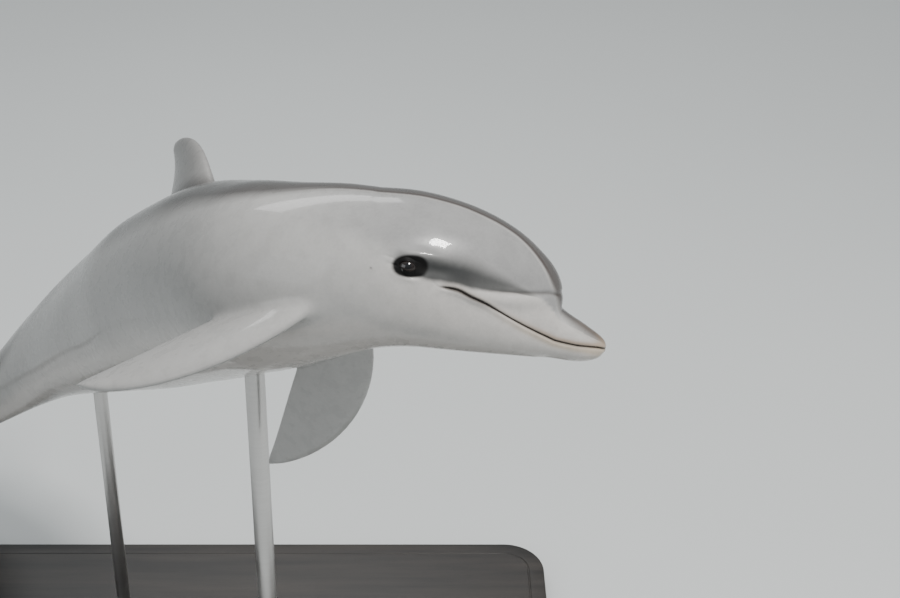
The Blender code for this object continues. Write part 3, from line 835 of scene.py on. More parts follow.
# ------------------------------------------------------------------ openings in the skin
@dataclass
class Opening:
    """An opening whose rim is drawn in from a rectangle of the grid.

    Args:
        number: Its number in the skin's layers, after the fins.
        station: Station of its middle.
        angle: Angle of its middle.
        half: Half sizes of the rectangle, back and across, in metres.
        rim: Outline of the opening for the directions round it, as (back, across) metres.
        steps: Fractions of the way to the rim.
        walls: Rows inside, as scale of the rim, lift and whether it is from the plain outline.
        stretch: Metres in the world for each metre of station, found when it is built.
    """

    number: int
    station: float
    angle: float
    half: Tuple[float, float]
    rim: Callable[[Array], Array]
    steps: Tuple[float, ...]
    walls: Tuple[Tuple[float, float, bool], ...]
    stretch: float = 1.0

    def build(self, skin: SkinMesh) -> None:
        """Cuts the opening into the skin."""
        reach = float(FORM.section(self.station, self.angle)[0][0])
        self.stretch = stretch_at(self.station, self.angle)
        wide, long = self.half[1] / reach, self.half[0] / self.stretch
        loop = skin.block(self.station - long, self.station + long, self.angle - wide, self.angle + wide)
        x, t = skin.read(loop)
        local = np.stack([(x - self.station) * self.stretch, (t - self.angle) * self._reach(x)], 1)
        around = np.arctan2(local[:, 1] / self.half[1], local[:, 0] / self.half[0])
        rim = self.rim(around)
        flat = np.zeros(len(loop))
        for step in self.steps:
            p = local * (1 - step) + rim * step
            loop = skin.grow(loop, Ring(*self._place(p), flat, turn=around, part=self.number))
        middle = rim.mean(0)
        for k, (scale, lift, plain) in enumerate(self.walls):
            p = middle + (rim - middle) * scale
            loop = skin.grow(loop, Ring(*self._place(p), flat + lift, plain, covers=Covers.INSIDE,
                                        span=(k + 1) / (len(self.walls) + 1), turn=around,
                                        part=self.number))
        skin.close(loop)

    def _reach(self, x: Array) -> Array:
        """Reach of the outline under the opening at the stations x."""
        return FORM.section(x, np.full_like(x, self.angle))[0]

    def _place(self, p: Array) -> Tuple[Array, Array]:
        """Station and angle of local points."""
        x = self.station + p[:, 0] / self.stretch
        return x, self.angle + p[:, 1] / self._reach(x)


def eye_opening(side: int) -> Opening:
    """The slit between the lids on one side, with a socket behind it."""
    def rim(around: Array) -> Array:
        """Almond of the lids: pointed at its corners, fuller above."""
        a = EYE.half_length * np.cos(around)
        up = -np.sin(around) * side
        b = np.where(up > 0, EYE.upper, EYE.lower) * up * np.abs(up) ** 0.3
        turned = a * math.sin(EYE.tilt) + b * math.cos(EYE.tilt)
        return np.stack([a * math.cos(EYE.tilt) - b * math.sin(EYE.tilt), -turned * side], 1)

    steps = (0.12, 0.24, 0.36, 0.47, 0.57, 0.66, 0.74, 0.81, 0.87, 0.92, 0.96, 0.985, 1.0)
    walls = ((0.985, -0.0004, False), (0.97, -0.0009, False), (0.98, -0.0014, False),
             (1.15, -0.006, True), (1.20, -0.012, True), (1.00, -0.019, True), (0.40, -0.0225, True))
    half = (0.026 if side < 0 else 0.0155, 0.017)
    return Opening(6 if side < 0 else 7, EYE.station, EYE.angle * side, half, rim, steps, walls)


def blowhole_opening() -> Opening:
    """The crescent blowhole on top of the head, horns forward."""
    bow, half_gap, half_width = 0.0050, 0.0012, 0.0125

    def rim(around: Array) -> Array:
        """Thin crescent across the head."""
        across = np.sin(around)
        back = bow * (1 - across**2) + half_gap * np.cos(around)
        return np.stack([back - bow / 2, half_width * across], 1)

    steps = (0.2, 0.38, 0.54, 0.68, 0.79, 0.88, 0.94, 0.98, 1.0)
    walls = ((0.97, -0.0006, False), (0.92, -0.0018, False), (0.9, -0.005, False), (0.8, -0.010, False))
    return Opening(8, station=0.246, angle=0.03, half=(0.018, 0.021), rim=rim, steps=steps, walls=walls)


EAR_STATION, EAR_RADIUS = 0.291, 0.0006
EAR_ANGLE = FORM.theta_at(EAR_STATION, -0.0186)


def ear_opening(side: int) -> Opening:
    """The pinhole of the ear behind the eye."""
    def rim(around: Array) -> Array:
        """Small round hole."""
        return EAR_RADIUS * np.stack([np.cos(around), np.sin(around)], 1)

    return Opening(9 if side < 0 else 10, EAR_STATION, EAR_ANGLE * side, half=(0.0045, 0.0062), rim=rim,
                   steps=(0.3, 0.55, 0.75, 0.88, 0.95, 1.0),
                   walls=((0.8, -0.0008, False), (0.6, -0.0022, False)))


# ------------------------------------------------------------------ fins
@dataclass
class Fin:
    """A fin that grows out of the skin between a leading and a trailing curve.

    Args:
        number: Its number in the skin's layers, from 1.
        lead: Four control points of the leading edge.
        trail: Four control points of the trailing edge.
        flat: Direction through its thickness.
        root_half: Half thickness at the root.
        taper: Power of the thinning towards the tip.
        window: Stations that its root may touch.
        side: Angle of the body that it stands on.
        fillet: Widths of the fillet on the body and on the fin.
        bent: Whether the curves are in the straight pose and follow the spine.
        tip_half: Half thickness at the tip.
        rows: Rows of points from the fillet to the tip.
        spread: How far round the body the hole may reach from the side, as an angle.
        rear_room: Room left behind the hole before the tail's end.
        tip_from: Fraction of the span from which the tip is rounded.
        fuller_front: How much fuller the section is at its front.
        root_search: Last fraction of the span tried for the foot, and the count of places.
        hole_room: Metres from the fillet to the hole's rim.
        hole_share: Largest share of that way that the fillet takes up.
        body_steps: Fractions of the rows from the hole's rim to the fillet.
        fillet_steps: Fractions of the rows over the fillet.
        fillet_span: Share of the span layer that the fillet has.
    """

    number: int
    lead: Array
    trail: Array
    flat: Array
    root_half: float
    taper: float
    window: Tuple[float, float]
    side: float
    fillet: Tuple[float, float] = (0.014, 0.013)
    bent: bool = True
    tip_half: float = 0.0018
    rows: int = 26
    spread: float = 9.0
    rear_room: float = 0.004
    tip_from: float = 0.93
    fuller_front: float = 0.35
    root_search: Tuple[float, int] = (0.62, 63)
    hole_room: float = 0.010
    hole_share: float = 0.72
    body_steps: Tuple[float, ...] = (0.28, 0.54, 0.78)
    fillet_steps: Tuple[float, ...] = (0.16, 0.32, 0.48, 0.64, 0.82, 1.0)
    fillet_span: float = 0.12

    def points(self, s: Array, f: Array) -> Array:
        """World points at fraction s of the span and place f round the section."""
        s, f = np.broadcast_arrays(np.atleast_1d(s), np.atleast_1d(f))
        a, b = bezier(self.lead, s), bezier(self.trail, s)
        end = np.clip((s - self.tip_from) / (1 - self.tip_from), 0, 1)
        end = np.sqrt(1 - end**2)[:, None]
        half = (self.root_half * np.maximum(1 - s, 0) ** self.taper + self.tip_half)[:, None]
        wave = np.sin(f) * (1 + self.fuller_front * np.cos(f))
        p = (a + b) / 2 + (a - b) / 2 * np.cos(f)[:, None] * end + self.flat * half * wave[:, None] * end
        return SPINE.place(p) if self.bent else p

    def outside(self, world: Array) -> Tuple[Array, Array, Array]:
        """Distance outside the body's outline, station and angle of world points."""
        p = SPINE.unplace(world, *self.window)
        x = np.clip(p[:, 0], 0.01, FORM.tail_station)
        _, centre = FORM.section(x, 0 * x)
        theta = np.arctan2(p[:, 1], p[:, 2] - centre)
        reach, _ = FORM.section(x, theta)
        return np.hypot(p[:, 1], p[:, 2] - centre) - reach, x, self._near(theta)

    def _near(self, theta: Array) -> Array:
        """Angles brought within half a turn of the fin's side."""
        return self.side + (theta - self.side + math.pi) % (2 * math.pi) - math.pi

    def foot(self, f: Array) -> Tuple[Array, Array, Array]:
        """Where each line of the fin meets the body.

        Args:
            f: Places round the section.
        Returns:
            Span fraction, station and angle of the crossing for each line.
        """
        s = np.linspace(0, *self.root_search)
        n, m = len(f), len(s)
        gap, x, t = (a.reshape(n, m) for a in self.outside(self.points(np.tile(s, n), np.repeat(f, m))))
        k = np.minimum(m - 1 - np.argmax(gap[:, ::-1] < 0, axis=1), m - 2)
        k = np.where((gap < 0).any(1), k, 0)
        rows = np.arange(n)
        step = np.maximum(gap[rows, k + 1] - gap[rows, k], 1e-9)
        u = np.clip(-gap[rows, k] / step, 0, 1)
        return (s[k] + u * (s[k + 1] - s[k]), x[rows, k] + u * (x[rows, k + 1] - x[rows, k]),
                t[rows, k] + u * (t[rows, k + 1] - t[rows, k]))

    def build(self, skin: SkinMesh) -> None:
        """Grows the fin out of the skin."""
        wide, high = self.fillet
        _, fx, ft = self.foot(np.linspace(0, 2 * math.pi, 48, endpoint=False))
        reach = float(FORM.section(float(fx.mean()), self.side)[0][0])
        room = wide + self.hole_room
        loop = skin.block(fx.min() - room, min(fx.max() + room, FORM.tail_station - self.rear_room),
                          max(ft.min() - room / reach, self.side - self.spread),
                          min(ft.max() + room / reach, self.side + self.spread))
        x, t = skin.read(loop)
        f = self._turns(skin, loop)
        s, fx, ft = self.foot(f)
        far = np.hypot(fx - x, (ft - t) * reach)
        part = np.minimum(self.hole_share, wide / np.maximum(far, 1e-6))
        bx, bt = fx + (x - fx) * part, ft + (t - ft) * part
        flat = np.zeros(len(loop))
        for step in self.body_steps:
            loop = skin.grow(loop, Ring(x + (bx - x) * step, t + (bt - t) * step, flat))
        loop = skin.grow(loop, Ring(bx, bt, flat, turn=f, part=self.number))
        base, foot = skin_point(bx, bt), skin_point(fx, ft)
        rise, top = self._rise(s, f, high)
        rows = [(base * (1 - step) ** 2 + foot * 2 * step * (1 - step) + top * step**2,
                 self.fillet_span * step) for step in self.fillet_steps]
        for k in range(1, self.rows + 1):
            way = math.sin(math.pi / 2 * max(k / self.rows, 0.5)) * min(2 * k / self.rows, 1.0)
            rows.append((self.points(rise + (1 - rise) * way, f),
                         self.fillet_span + (1 - self.fillet_span) * way))
        for p, span in rows:
            loop = skin.grow(loop, Ring(fx, ft, flat, world=p, covers=Covers.FIN, turn=f, span=span,
                                        part=self.number))
        skin.close(loop)

    def _rise(self, s: Array, f: Array, high: float) -> Tuple[Array, Array]:
        """Span fractions and points a set distance out from the foot along each line."""
        grid = np.linspace(s, np.minimum(s + 0.35, 0.9), 30)
        p = self.points(grid.ravel(), np.tile(f, 30)).reshape(30, len(f), 3)
        run = np.cumsum(np.linalg.norm(np.diff(p, axis=0, prepend=p[:1]), axis=2), axis=0)
        rise = np.array([np.interp(high, run[:, i], grid[:, i]) for i in range(len(f))])
        return rise, self.points(rise, f)

    def _turns(self, skin: SkinMesh, loop: Sequence[bmesh.types.BMVert]) -> Array:
        """Place round the section for each point of the rim, turned to suit the fin."""
        n = len(loop)
        even = 2 * math.pi * np.arange(n) / n
        x, t = skin.read(loop)
        reach = float(FORM.section(float(x.mean()), self.side)[0][0])
        best, found = None, even
        for f in (even, (2 * math.pi - even) % (2 * math.pi)):
            _, fx, ft = self.foot(f[::4])
            cost = float(np.hypot(fx - x[::4], (ft - t[::4]) * reach).sum())
            if best is None or cost < best:
                best, found = cost, f
        return found


def dorsal_fin() -> Fin:
    """The falcate fin on the back."""
    lead = np.array(((0.648, 0, 0.100), (0.765, 0, 0.150), (0.775, 0, 0.268), (0.902, 0, 0.284)))
    trail = np.array(((0.905, 0, 0.085), (0.868, 0, 0.150), (0.868, 0, 0.225), (0.916, 0, 0.274)))
    return Fin(1, lead, trail, np.array([0, 1.0, 0]), root_half=0.0165, taper=0.8,
               window=(0.5, 1.1), side=0.0, fillet=(0.020, 0.018))


@dataclass(frozen=True)
class FlipperPose:
    """Root and directions of a flipper, all angles in degrees."""

    number: int
    side: int
    station: float
    angle: float
    sweep: float
    droop: float
    twist: float
    length: float = 0.275
    chord: float = 0.105

    def frame(self) -> Tuple[Array, Array, Array, Array]:
        """Root point, spanwise, chordwise and flat directions in the world."""
        a, e, t = (math.radians(v) for v in (self.sweep, self.droop, self.twist))
        span = np.array([math.cos(e) * math.cos(a), self.side * math.cos(e) * math.sin(a), -math.sin(e)])
        chord = np.array([-1.0, 0, 0]) + span * span[0]
        chord /= np.linalg.norm(chord)
        chord = chord * math.cos(t) + np.cross(span, chord) * math.sin(t)
        root = SPINE.place(FORM.point(self.station, self.side * math.radians(self.angle)))[0]
        span, chord = SPINE.direction(self.station, span), SPINE.direction(self.station, chord)
        return root, span, chord, np.cross(span, chord)

    def fin(self) -> Fin:
        """The flipper as a fin of the skin."""
        root, span, chord, flat = self.frame()
        n, w = self.length, self.chord
        lead = ((-0.060, 0.004), (0.040, 0.078), (0.205, 0.052), (n - 0.004, -0.030))
        trail = ((-0.004, -0.50 * w), (0.35 * n, -0.50 * w), (0.72 * n, -0.36 * w), (n, -0.037))

        def world(rows: Sequence[Sequence[float]]) -> Array:
            """Local curve points to the world."""
            return np.array([root + span * u + chord * v for u, v in rows])

        return Fin(self.number, world(lead), world(trail), flat, root_half=0.0125, taper=0.7,
                   window=(0.2, 0.75), side=self.side * math.radians(self.angle),
                   fillet=(0.013, 0.013), bent=False)


FLIPPERS = (FlipperPose(2, -1, 0.380, 137, 17, 24, 1),
            FlipperPose(3, 1, 0.380, 133, 41, 27, 7))


FLUKE_GAP = 0.0003


def fluke(number: int, side: int) -> Fin:
    """One half of the tail flukes."""
    flip = np.array([1, side, 1.0])
    y0 = FLUKE_GAP / 2
    lead = np.array(((1.420, y0, 0), (1.478, 0.075, 0), (1.545, 0.168, 0), (1.654, 0.214, 0)))
    trail = np.array(((1.606, y0, 0), (1.646, 0.035, 0), (1.604, 0.130, 0), (1.663, 0.209, 0)))
    return Fin(number, lead * flip, trail * flip, np.array([0, 0, 1.0]), root_half=0.0135, taper=0.9,
               window=(1.3, 1.75), side=side * math.pi / 2, fillet=(0.008, 0.012), spread=1.25)


# ------------------------------------------------------------------ markings and unwrapping
@dataclass(frozen=True)
class Markings:
    """Where the coat is dark or pale, and where shade and a highlight are painted onto it.

    Args:
        cape: Station, edge angle and softness of the dark back, in degrees.
        belly: The same of the pale belly.
        painted_hollow_shade: Station, upper and lower edge of the painted shade before the eye, in
            degrees; a dark band that stands for the shade in the hollow under the melon's overhang.
        strength: Station and darkness of that painted shade.
        left_softer: How much softer the cape's edge is on the left.
        left_crest: How much is left there of the dark line and the painted highlight along the cape's
            edge.
        fin_shade: Darkness of the back fin, the flippers and the flukes.
    """

    cape: Rows = (
        (0.00, 62, 34), (0.05, 46, 26), (0.087, 32, 7), (0.112, 23, 5), (0.158, 16, 4),
        (0.214, 15, 4), (0.252, 20, 5), (0.293, 31, 6), (0.346, 42, 8), (0.45, 55, 12),
        (0.65, 68, 17), (0.85, 72, 18), (1.10, 78, 20), (1.30, 88, 22), (1.61, 110, 30),
    )
    belly: Rows = (
        (0.00, 118, 16), (0.064, 122, 14), (0.197, 124, 14), (0.255, 136, 12), (0.36, 146, 12),
        (0.60, 142, 16), (1.00, 140, 16), (1.20, 146, 16), (1.45, 158, 16), (1.61, 185, 10),
    )

    # Painted shade: edges and darkness of a dark band that stands for the shade in the hollow under the
    # melon's overhang, before the eye.
    painted_hollow_shade: Rows = (
        (0.105, 52, 55), (0.120, 54, 60), (0.135, 55, 64), (0.150, 55, 68), (0.170, 55, 73),
        (0.190, 54, 76), (0.205, 55, 77), (0.215, 57, 79), (0.225, 60, 82), (0.235, 63, 85),
        (0.245, 67, 87), (0.262, 75, 90),
    )
    strength: Rows = ((0.100, 0.0), (0.118, 0.60), (0.150, 0.80), (0.180, 0.90), (0.205, 0.98),
                      (0.245, 1.0), (0.262, 0.9), (0.274, 0.0))
    left_softer: float = 1.6
    left_crest: float = 0.15
    fin_shade: Tuple[float, float, float] = (0.36, 0.08, 0.6)

    @staticmethod
    def _edge(rows: Rows, x: Array, turn: Array, softer: Array = 1.0) -> Array:
        """1 above the edge of a marking and 0 below it."""
        edge, soft = np.radians(held_rows(rows, x)).T
        return 1 - ease(-1, 1, (turn - edge) / (soft * softer))

    def fields(self, x: Array, theta: Array, covers: Array, part: Array, span: Array,
               around: Array) -> Dict[str, Array]:
        """All the markings at the skin's points.

        Args:
            x: Stations.
            theta: Angles.
            covers: What each point covers.
            part: Number of its fin or opening.
            span: Fraction along the fin or into the opening.
            around: Place round the fin.
        Returns:
            Values by the name of the marking.
        """
        reach, turn, below = RELIEF.side_frame(x, theta)
        on_fin = covers == Covers.FIN.value
        left = ease(0.02, 0.10, theta)
        cape = self._edge(self.cape, x, turn, 1 + self.left_softer * left)
        # Place across the painted shade band under the melon: 0 at its upper edge, 1 at its lower.
        top, low = np.radians(held_rows(self.painted_hollow_shade, x)).T
        across = np.where(on_fin, 2.0, (turn - top) / (low - top))
        melon = (1 - cape) * (1 - ease(-0.4, 0.9, across)) * between(x, 0.062, 0.080, 0.26, 0.40)
        # Where the cape's edge carries its dark line and a pale line of painted highlight, on the head.
        edge_line_and_sheen = between(x, 0.080, 0.110, 0.28, 0.42) * (1 - (1 - self.left_crest) * left)
        rim = (turn - np.radians(held_rows(self.cape, x))[:, 0]) * reach
        cheek = 0.55 * ease(0.72, 1.05, across) * (1 - ease(0.22, 0.34, x))
        pale = 1 - self._edge(self.belly, x, turn)
        pale = np.where(on_fin, 0.7 * pale * (1 - ease(0.0, 0.22, span)), np.maximum(pale, cheek))
        off = RELIEF.crease_offset(x, turn, reach)
        marks = self._mouth(x, turn, below)
        marks.update({
            "cape": self._fins(cape, part, on_fin, span, around), "pale": pale,
            "patch": np.where(on_fin, 3.0, self._patch(x, theta, reach, turn)),
            # Darkness of the painted shade band under the melon.
            "painted_hollow_shade": held_rows(self.strength, x)[:, 0], "across": np.clip(across, -1, 2),
            "rim": np.clip(rim, -0.03, 0.03) * 100, "edge_line_and_sheen": edge_line_and_sheen * (1 - on_fin),
            "melon": melon * (1 - on_fin),
            # Painted shade in the mouth's slit, the crease, the insides of the openings and round the
            # ear.
            "deep": self._painted_recess_shade(x, turn, reach, below, off, covers == Covers.INSIDE.value)})
        return marks

    @staticmethod
    def _patch(x: Array, theta: Array, reach: Array, turn: Array) -> Array:
        """Distance from the middle of the eye's dark patch, 1 at its edge."""
        _, _, p, q = RELIEF.eye_frame(x, theta, reach, turn)
        power = 2.3
        long = np.abs((p + 0.0038) / 0.0250)
        wide = np.abs((q + 0.12 * p + 0.0004) / 0.0124)
        return np.minimum((long**power + wide**power) ** (1 / power), 3)

    @staticmethod
    def _on_mouth(x: Array) -> Array:
        """1 along the mouth line and 0 past its ends."""
        return between(x, -0.0066, -0.0046, 0.217, 0.231)

    def _mouth(self, x: Array, turn: Array, below: Array) -> Dict[str, Array]:
        """The cream and tan of the lips and the beak's tip."""
        pink = self._on_mouth(x) * bell(below - 0.0045, 0.0042) * (1 - ease(0.06, 0.19, x)) \
            + 0.7 * (1 - ease(0.0, 0.030, x)) * bell(below - 0.005, 0.012)
        lip = self._on_mouth(x) * bell(below + 0.0030, 0.0032) * (1 - 0.70 * ease(0.05, 0.16, x))
        tip = 0.80 * (1 - ease(-0.004, 0.020, x)) * ease(-0.001, -0.004, below)
        ridge = 0.35 * (1 - ease(0.02, 0.065, x)) * (1 - ease(0.3, 1.1, turn))
        return {"pink": np.clip(pink, 0, 1), "tan": np.clip(lip + tip + ridge, 0, 1)}

    def _painted_recess_shade(self, x: Array, turn: Array, reach: Array, below: Array, off: Array,
              inside: Array) -> Array:
        """Painted shade in the mouth's slit, the crease, the insides of the openings and round the ear's
        pinhole.
        """
        width = 0.0012 + 0.0019 * between(x, 0.14, 0.18, 0.205, 0.225) \
            + 0.0005 * (1 - ease(0.05, 0.12, x))
        slit = self._on_mouth(x) * bell(below, width)
        crease = 0.5 * bell(off, 0.0018) * between(x, 0.070, 0.078, 0.11, 0.19)
        hole = np.hypot(x - EAR_STATION, (turn - EAR_ANGLE) * reach)
        ear = 0.30 * (1 - ease(EAR_RADIUS, 4 * EAR_RADIUS, hole))
        return np.maximum.reduce([slit, crease, ear, inside * 1.0])

    def _fins(self, cape: Array, part: Array, on_fin: Array, span: Array, around: Array) -> Array:
        """The cape carried on over the fins, darker above than below on the paired ones."""
        back, flipper, tail = self.fin_shade
        upper = np.where(part == 1, back, np.where(np.isin(part, (2, 3)), flipper, tail))
        under = np.where(part > 1, 0.5 - 0.5 * np.sin(around), 0.0)
        shade = upper * ease(0.0, 0.35, span) - 0.25 * under
        return np.where(on_fin, np.clip(np.maximum(cape * (1 - ease(0.1, 0.5, span)), shade), 0, 1), cape)


@dataclass(frozen=True)
class Unwrap:
    """Lays the skin out flat: the body below, the fins and the insides of openings above.

    Args:
        head_stretch: How much the head is drawn out along the map.
        head: Station at which that ends.
        body_top: Top of the body's part of the map.
        islands: Left edge and width of each fin's part.
        island_low: Bottom of the fins' parts.
        island_high: Top of them.
        spots: Height of the middles of the openings' parts.
        spot_step: Distance between those.
        spot_radius: Radius of each.
        margin: Room left free at the edges.
    """

    head_stretch: float = 2.0
    head: float = 0.34
    body_top: float = 0.64
    islands: Tuple[Tuple[float, float], ...] = (
        (0.01, 0.24), (0.26, 0.17), (0.44, 0.17), (0.62, 0.18), (0.81, 0.18))
    island_low: float = 0.66
    island_high: float = 0.93
    spots: float = 0.965
    spot_step: float = 0.06
    spot_radius: float = 0.022
    margin: float = 0.01

    def apply(self, mesh: bpy.types.Mesh, data: Dict[str, Array]) -> None:
        """Writes the map.

        Args:
            mesh: The skin.
            data: Its points' station, angle, covers, part, span and turn.
        """
        n = len(mesh.loops)
        vert = np.empty(n, np.int32)
        mesh.loops.foreach_get("vertex_index", vert)
        start = np.empty(len(mesh.polygons), np.int32)
        mesh.polygons.foreach_get("loop_start", start)
        total = np.diff(np.append(start, n))

        def spread(values: Array) -> Array:
            """One value a face to one value a corner."""
            return np.repeat(values, total)

        covers = data["covers"][vert]
        fin = spread(np.maximum.reduceat(covers == Covers.FIN.value, start))
        hole = spread(np.maximum.reduceat(covers == Covers.INSIDE.value, start))
        part = spread(np.maximum.reduceat(data["part"][vert], start))
        angle = self._whole_turns(data["angle"][vert], start, total)
        along = self._along(data["station"][vert])
        u = self.margin + (1 - 2 * self.margin) * along
        v = self.margin + (self.body_top - 2 * self.margin) * (angle + math.pi) / (2 * math.pi)
        turn = self._whole_turns(data["turn"][vert], start, total) % (4 * math.pi)
        left, wide = np.array(self.islands)[np.clip(part, 1, 5) - 1].T
        span = data["span"][vert]
        u = np.where(fin, left + wide * turn / (2 * math.pi) * (1 - 2 * self.margin), u)
        v = np.where(fin, self.island_low + (self.island_high - self.island_low) * span, v)
        spot = self.spot_step * (part - len(self.islands) + 1)
        ray = self.spot_radius * (1 - span)
        u = np.where(hole, spot + ray * np.cos(turn), u)
        v = np.where(hole, self.spots + ray * np.sin(turn), v)
        layer = mesh.uv_layers.new(name="OFBake")
        layer.uv.foreach_set("vector", np.stack([u, v], 1).astype(np.float32).ravel())

    @staticmethod
    def _whole_turns(values: Array, start: Array, total: Array) -> Array:
        """Brings the corners of faces that cross the seam to one side of it."""
        low, high = np.minimum.reduceat(values, start), np.maximum.reduceat(values, start)
        crossing = np.repeat(high - low > math.pi, total)
        middle = np.repeat((low + high) / 2, total)
        return np.where(crossing & (values < middle), values + 2 * math.pi, values)

    def _along(self, x: Array) -> Array:
        """Fraction along the map, with the head drawn out."""
        whole = (self.head - FORM.tip_station) * self.head_stretch + FORM.tail_station - self.head
        return ((np.minimum(x, self.head) - FORM.tip_station) * self.head_stretch
                + np.maximum(x - self.head, 0)) / whole


# ------------------------------------------------------------------ finishes
Colour = Tuple[float, float, float]


class Nodes:
    """The shader nodes of one material."""

    def __init__(self, name: str) -> None:
        """Starts a material with a Principled surface."""
        self.material = bpy.data.materials.new(name)
        self.material.use_nodes = True
        self.tree = self.material.node_tree
        self.surface = self.tree.nodes["Principled BSDF"]

    def add(self, kind: str, settings: Optional[Dict[str, object]] = None,
            **inputs: object) -> bpy.types.Node:
        """Adds a node.

        Args:
            kind: The node's type, without ShaderNode.
            settings: Properties of the node.
            inputs: Socket values or links, with _ for spaces.
        Returns:
            The node.
        """
        node = self.tree.nodes.new("ShaderNode" + kind)
        for key, value in (settings or {}).items():
            setattr(node, key, value)
        for key, value in inputs.items():
            self.feed(node.inputs[key.replace("_", " ")], value)
        return node

    def feed(self, socket: bpy.types.NodeSocket, value: object) -> None:
        """Links or sets a socket."""
        if isinstance(value, bpy.types.NodeSocket):
            self.tree.links.new(value, socket)
        elif isinstance(value, tuple) and len(value) == 3 and len(socket.default_value) == 4:
            socket.default_value = (*value, 1.0)
        else:
            socket.default_value = value

    def mark(self, name: str) -> bpy.types.NodeSocket:
        """Value of an attribute of the mesh."""
        return self.add("Attribute", {"attribute_name": name}).outputs["Fac"]

    def mix(self, factor: object, a: object, b: object) -> bpy.types.NodeSocket:
        """Mix of two colours."""
        node = self.add("Mix", {"data_type": "RGBA"})
        for index, value in ((0, factor), (6, a), (7, b)):
            self.feed(node.inputs[index], value)
        return node.outputs[2]

    def maths(self, operation: str, a: object, b: object = 0.0) -> bpy.types.NodeSocket:
        """A sum on two values."""
        node = self.add("Math", {"operation": operation})
        self.feed(node.inputs[0], a)
        self.feed(node.inputs[1], b)
        return node.outputs[0]

    def noise(self, scale: float, detail: float = 3.0, where: object = None) -> bpy.types.NodeSocket:
        """Noise on Object coordinates."""
        place = where or self.add("TexCoord").outputs["Object"]
        return self.add("TexNoise", Vector=place, Scale=scale, Detail=detail).outputs["Fac"]

    def span(self, value: object, low: float, high: float, to_low: float = 0.0,
             to_high: float = 1.0, soft: bool = False) -> bpy.types.NodeSocket:
        """A value stretched from one range to another and kept within it, with soft ends if asked."""
        node = self.add("MapRange", {"interpolation_type": "SMOOTHSTEP" if soft else "LINEAR"},
                        Value=value, From_Min=low, From_Max=high, To_Min=to_low, To_Max=to_high)
        return node.outputs[0]

    def sway(self, value: object, amount: float) -> bpy.types.NodeSocket:
        """A noise centred on 0 and scaled."""
        return self.maths("MULTIPLY", self.maths("SUBTRACT", value, 0.5), amount)

    def shade(self, colour: object, by: object) -> bpy.types.NodeSocket:
        """A colour made lighter or darker by a factor."""
        node = self.add("VectorMath", {"operation": "SCALE"})
        self.feed(node.inputs[0], colour)
        self.feed(node.inputs["Scale"], by)
        return node.outputs[0]

    def bump(self, height: object, distance: float, strength: float) -> None:
        """A bump laid over any that is already on the surface."""
        node = self.add("Bump", Height=height, Distance=distance, Strength=strength)
        before = self.surface.inputs["Normal"].links
        if before:
            self.feed(node.inputs["Normal"], before[0].from_socket)
        self.feed(self.surface.inputs["Normal"], node.outputs[0])

    def finish(self, **inputs: object) -> bpy.types.Material:
        """Sets the surface's sockets and gives the material."""
        for key, value in inputs.items():
            self.feed(self.surface.inputs[key.replace("_", " ")], value)
        return self.material


